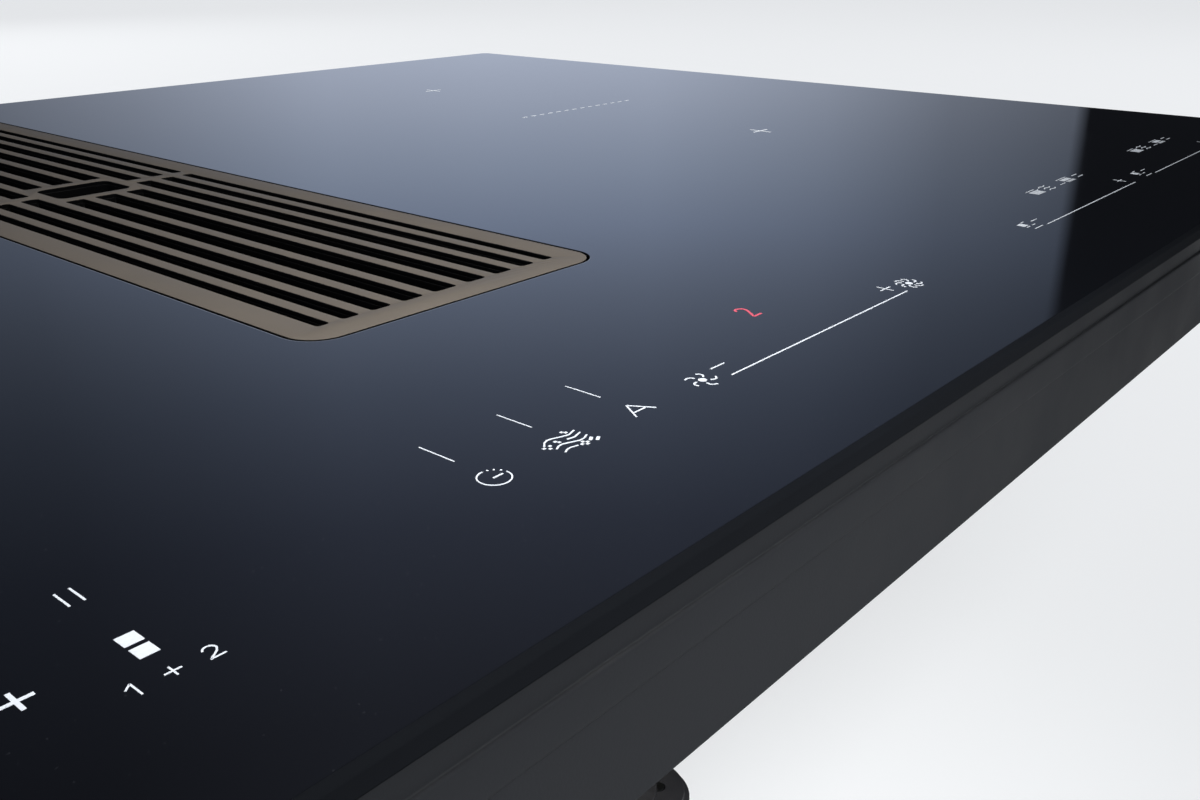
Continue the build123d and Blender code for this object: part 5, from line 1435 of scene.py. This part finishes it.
@dataclass(frozen=True)
class BodyTray:
    """The coated sheet tray with beads pressed into its walls and floor."""

    width: float = 9 * MM
    height: float = 0.8 * MM
    sunk: float = 0.3 * MM
    corner: float = 0.98 * width / 2
    rim: float = 1.2 * MM
    edge: float = 0.7 * MM
    wall_z: float = 178 * MM
    long: float = 660 * MM
    short: float = 160 * MM
    side_y: tuple[float, ...] = (-0.11, 0.11)
    floor_spots: tuple[Point2, ...] = ((-0.235, -0.03), (-0.235, 0.03), (-0.235, 0.09), (0.19, -0.20),
                                       (-0.19, -0.20))

    def bead(self, length: float) -> Piece:
        """Model one pressed bead along X at the origin, standing out towards -Z.

        Args:
            length: Its length.

        Returns:
            The bead.
        """
        half = self.width / 2
        bead = block("tray_bead", (-length / 2, -half, -self.height), (length / 2, half, self.sunk))
        edit(bead)
        round_corners(bead, self.corner)
        pick(bead, "FACE", lambda face: face.normal.z < -FACING)
        bpy.ops.mesh.inset(thickness=self.rim)
        leave_edit()
        round_edges(bead, self.edge, 50.0)
        return bead

    def build(self) -> None:
        """Model the tray."""
        low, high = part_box("body_tray")
        quarter = math.pi / 2
        front = Matrix.Translation((0, low.y, self.wall_z)) @ Matrix.Rotation(-quarter, 4, "X")
        upright = Matrix.Rotation(quarter, 4, "Z")
        places = [Matrix.Translation((side * high.x, y, self.wall_z))
                  @ Matrix.Rotation(-side * quarter, 4, "Y") @ upright
                  for side in (-1, 1) for y in self.side_y]
        places += [Matrix.Translation((x, y, low.z)) for x, y in self.floor_spots]
        beads = repeat(self.bead(self.long), "tray_bead", [front])
        beads += repeat(self.bead(self.short), "tray_bead", places)
        dressed("tray_shell", "body_tray", "coated_sheet", "housing", beads)


# ---------------------------------------------------------------- small parts


@dataclass(frozen=True)
class Fasteners:
    """The screws of the housing."""

    head: PanHead = PanHead()
    floor: float = 10 * MM

    def build(self) -> None:
        """Model the screws with their heads; those near the floor look down."""
        seats = []
        for low, high in loose_parts("housing_screws"):
            middle = (low + high) / 2
            down = low.z < self.floor
            seats.append((Vector((middle.x, middle.y, low.z if down else high.z)), down))
        dressed("housing_screw_set", "housing_screws", "screw_steel", "housing", self.head.row(seats))


@dataclass(frozen=True)
class WiringBox:
    """The terminal box under the tray: knock-outs and ribs on its sides, a panelled lid with screws."""

    margin: float = 9 * MM
    rise: float = 0.9 * MM
    sunk: float = 0.3 * MM
    corner: float = 6 * MM
    edge: float = 0.2 * MM
    lid_rim: float = 2.5 * MM
    lid_depth: float = 0.6 * MM
    screw_inset: float = 5.2 * MM
    knock_out: float = 8 * MM
    sides: int = 32
    ring: float = 1.2 * MM
    ring_depth: float = 0.35 * MM
    knock_outs: tuple[float, ...] = (36 * MM, 84 * MM)
    rib: Rib = Rib(122 * MM, 146 * MM, 0.9 * MM, 1.6 * MM, 0.3 * MM)
    side_ribs: tuple[int, ...] = (14, 28, 42, 56, 70)
    front_ribs: tuple[int, ...] = (12, 60, 108)
    head: PanHead = PanHead(3.0 * MM, 0.8 * MM, 1.6 * MM)

    def build(self) -> None:
        """Model the box and its lid."""
        self.lid()
        self.box()

    def lid(self) -> None:
        """Model the lid with its raised panel, and its four screws."""
        low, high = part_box("terminal_lid")
        edge = Vector((self.margin, self.margin, 0))
        panel = block("lid_panel", low + edge - unit(2) * self.rise,
                      Vector((high.x, high.y, low.z + self.sunk)) - edge)
        edit(panel)
        round_corners(panel, self.corner)
        recess(panel, 2, self.lid_rim, self.lid_depth)
        leave_edit()
        round_edges(panel, self.edge)
        dressed("wiring_lid", "terminal_lid", "grey_moulding", "housing", [panel])
        inset = self.screw_inset
        corners = [(Vector((x, y, low.z)), True) for x in (low.x + inset, high.x - inset)
                   for y in (low.y + inset, high.y - inset)]
        screws = joined("wiring_lid_screws", self.head.row(corners))
        paint(screws, FINISHES["screw_steel"])
        settle(screws, "housing")

    def box(self) -> None:
        """Model the box with ribs round it and two knock-outs in front."""
        low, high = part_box("terminal_box")
        height = (low.z + high.z) / 2
        sides = [low.y + step for step in in_metres(self.side_ribs)]
        rays = level_rays(0, 1, sides, height) + level_rays(0, -1, sides, height)
        rays += level_rays(1, 1, [low.x + step for step in in_metres(self.front_ribs)], height)
        details = self.rib.row(surface("terminal_box"), rays)
        for step in self.knock_outs:
            middle = (low.x + step, low.y, height)
            ring = drum("knock_out", middle, self.knock_out, self.rise, self.sides, math.pi / 2)
            edit(ring)
            recess(ring, 1, self.ring, self.ring_depth)
            leave_edit()
            details.append(ring)
        dressed("wiring_box", "terminal_box", "grey_moulding", "housing", details)


@dataclass(frozen=True)
class DrawerFront:
    """The overflow drawer with a framed front and grip ribs beside its pull."""

    frame: float = 3.5 * MM
    rise: float = 0.9 * MM
    depth: float = 0.6 * MM
    edge: float = 0.25 * MM
    sunk: float = 0.2 * MM
    margin: float = 1.2 * MM
    height: float = 10 * MM
    rib: Rib = Rib(8 * MM, 28 * MM, 0.7 * MM, 1.4 * MM, 0.3 * MM)
    ribs: tuple[int, ...] = (-38, -35, -32, -29, 29, 32, 35, 38)

    def build(self) -> None:
        """Model the drawer."""
        low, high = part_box("overflow_drawer")
        wall = surface("overflow_drawer")
        rays = level_rays(1, 1, in_metres(self.ribs), self.height)
        front = wall.ray_cast(*rays[1])[0].y
        plate = block("drawer_frame", (low.x + self.margin, front - self.rise, low.z + self.margin),
                      (high.x - self.margin, front + self.sunk, high.z - self.margin))
        edit(plate)
        recess(plate, 1, self.frame, self.depth)
        leave_edit()
        round_edges(plate, self.edge)
        dressed("drawer_shell", "overflow_drawer", "grey_moulding", "overflow_drawer",
                [plate, *self.rib.row(wall, rays)])


# ---------------------------------------------------------------- studio


@dataclass(frozen=True)
class Studio:
    """Floor, light and camera.

    The camera's place, axes and lens come from the photograph's vanishing points. The surround that
    polished faces mirror is given by elevation (degrees, level, red, blue) and by azimuth (degrees,
    share), with a dark flag between two azimuths.
    """

    floor_size: float = 40.0
    floor_colour: Colour = (0.42, 0.425, 0.43)
    floor_light: Colour = (0.60, 0.61, 0.62)
    flag_colour: Colour = (0.010, 0.011, 0.014)
    fill_colour: Colour = (0.40, 0.41, 0.43)
    seen_colour: Colour = (0.80, 0.81, 0.825)
    lens: float = 34.618
    sensor: float = 36.0
    place: tuple[float, float, float] = (-0.17431, -0.33679, 0.28767)
    right: tuple[float, float, float] = (0.649562, -0.760308, -0.000986)
    up: tuple[float, float, float] = (0.287219, 0.244181, 0.926219)
    back: tuple[float, float, float] = (-0.703971, -0.601920, 0.376986)
    flag: Point2 = (71.8, 128.0)
    flag_soft: Point2 = (0.3, 14.0)
    sky: tuple[tuple[float, float, float, float], ...] = (
        (0.0, 0.72, 0.92, 1.20), (7.5, 0.695, 0.88, 1.27), (11.0, 0.655, 0.84, 1.34),
        (13.5, 0.60, 0.82, 1.41), (17.0, 0.475, 0.82, 1.41), (21.5, 0.344, 0.81, 1.46),
        (28.0, 0.205, 0.83, 1.52), (37.0, 0.120, 0.91, 1.38), (55.0, 0.11, 0.95, 1.12),
        (90.0, 0.24, 0.97, 1.05))
    spread: tuple[tuple[float, float], ...] = (
        (-180.0, 0.62), (-120.0, 0.85), (-60.0, 0.50), (0.0, 0.26), (14.0, 0.28), (22.0, 0.38),
        (28.0, 0.60), (36.0, 0.94), (44.0, 1.0), (52.0, 0.975), (60.0, 0.74), (66.0, 0.44),
        (75.0, 0.20), (125.0, 0.35), (180.0, 0.62))

    def build(self) -> None:
        """Set the floor, the light and the camera."""
        self.floor()
        self.world()
        self.lamps()
        self.camera()

    def floor(self) -> None:
        """Lay the plain pale floor."""
        bpy.ops.mesh.primitive_plane_add(size=self.floor_size, location=(0, 0, -0.2 * MM))
        floor = bpy.context.object
        floor.name = "studio_floor"
        material, wiring, shader = new_material("studio_floor")
        cloud = wiring.noise(wiring.place(), 3.0, 4.0)
        dark = tuple(share * 0.985 for share in self.floor_colour)
        wiring.fill(shader, {"Base Color": wiring.blend(cloud, dark, self.floor_colour), "Roughness": 0.85,
                             "Specular IOR Level": 0.2, "Emission Color": self.floor_light,
                             "Emission Strength": 1.0})
        floor.data.materials.append(material)

    def world(self) -> None:
        """Build the studio's soft surround, paler near the horizon, with a dark flag on the right."""
        world = bpy.data.worlds.new("studio")
        bpy.context.scene.world = world
        world.use_nodes = True
        world.node_tree.nodes.clear()
        wiring = Wiring(world.node_tree)
        way = wiring.xyz(wiring.add("ShaderNodeTexCoord").outputs["Generated"])
        elevation = wiring.math("DEGREES", wiring.math("ARCSINE", way["Z"]))
        azimuth = wiring.math("DEGREES", wiring.math("ARCTAN2", way["X"], way["Y"]))
        height = self.ramp(wiring, wiring.math("DIVIDE", elevation, 90.0), [
            (degrees / 90.0, (level * red, level, level * blue)) for degrees, level, red, blue in self.sky])
        round_about = self.ramp(wiring, wiring.math("MULTIPLY_ADD", azimuth, 1 / 360.0, 0.5), [
            (0.5 + degrees / 360.0, (share, share, share)) for degrees, share in self.spread])
        lit = wiring.blend(1.0, height, round_about, "MULTIPLY")
        (start, end), (crisp, soft_run) = self.flag, self.flag_soft
        near = wiring.span(azimuth, start - crisp, start + crisp)
        far = wiring.span(azimuth, end - soft_run, end, 1.0, 0.0)
        mirrored = wiring.blend(wiring.math("MULTIPLY", near, far), lit, self.flag_colour)
        ray = wiring.add("ShaderNodeLightPath").outputs
        soft = wiring.blend(ray["Is Glossy Ray"], self.fill_colour, mirrored)
        seen = wiring.blend(ray["Is Camera Ray"], soft, self.seen_colour)
        back = wiring.add("ShaderNodeBackground", {"Color": seen})
        wiring.add("ShaderNodeOutputWorld", {0: back.outputs[0]})

    @staticmethod
    def ramp(wiring: Wiring, value: Socket, stops: list[tuple[float, Colour]]) -> Socket:
        """Add a colour ramp.

        Args:
            wiring: The wiring of the tree.
            value: What runs along the ramp, from 0 to 1.
            stops: Place and colour of each stop, in order.

        Returns:
            The colour.
        """
        node = wiring.add("ShaderNodeValToRGB", {0: value})
        steps = node.color_ramp.elements
        for place, _ in stops[1:-1]:
            steps.new(place)
        for step, (place, colour) in zip(steps, stops):
            step.position = place
            step.color = (*colour, 1.0)
        return node.outputs[0]

    @staticmethod
    def lamp(name: str, place: Vector, aim: Vector, size: float, watts: float,
             spread: float = 180.0) -> None:
        """Hang one square soft lamp, which neither the camera nor the polished glass shows.

        Args:
            name: Name of the lamp.
            place: Its place.
            aim: The point that it faces.
            size: Length of its sides.
            watts: Its power.
            spread: Full angle of its light in degrees.
        """
        bpy.ops.object.light_add(type="AREA", location=place)
        lamp = bpy.context.object
        lamp.name = name
        lamp.rotation_euler = (Vector(aim) - Vector(place)).to_track_quat("-Z", "Y").to_euler()
        lamp.data.size = size
        lamp.data.energy = watts
        lamp.data.spread = math.radians(spread)
        lamp.visible_glossy = False
        lamp.visible_camera = False

    def lamps(self) -> None:
        """Hang the soft lamps: a near one in front of the grille and three round the cooktop."""
        self.lamp("lamp_front", (-0.05, -0.42, 0.42), (0, -0.14, 0.21), 0.2, 0.86, 95.0)
        for name, place, watts in (("left", (-3.2, -1.4, 2.0), 20.0), ("right", (3.2, -1.2, 2.0), 16.0),
                                   ("back", (0.8, 3.4, 1.8), 20.0)):
            self.lamp(f"lamp_{name}", place, (0, 0, 0.1), 2.0, watts)

    def camera(self) -> None:
        """Place the camera where the photograph was taken from."""
        bpy.ops.object.camera_add()
        camera = bpy.context.object
        camera.name = "camera"
        turn = Matrix((self.right, self.up, self.back)).transposed().to_4x4()
        camera.matrix_world = Matrix.Translation(self.place) @ turn
        camera.data.lens = self.lens
        camera.data.sensor_width = self.sensor
        camera.data.sensor_fit = "HORIZONTAL"
        camera.data.clip_start = 0.001
        bpy.context.scene.camera = camera


def main() -> None:
    """Build the studio, dress the CAD nodes and model the visible pieces."""
    logging.basicConfig(level=logging.INFO, format="%(name)s: %(message)s")
    bpy.context.scene.view_settings.view_transform = "Standard"
    Studio().build()
    dress_cad_nodes()
    TopPiece("glass_sheet", "glass_panel", "glass_ceramic", "ground_edge", "housing", level=0.95).build()
    # The slot walls of the grille skin take the near-black finish: painted shade in the slots.
    TopPiece("grille_skin", "grille_plate", "grille_metal", "grille_black", "grille", edge=0.12 * MM).build()
    for group in (GlassPrints, BlowerHousing, BodyTray, Fasteners, WiringBox, DrawerFront):
        group().build()


if __name__ == "__main__":
    main()
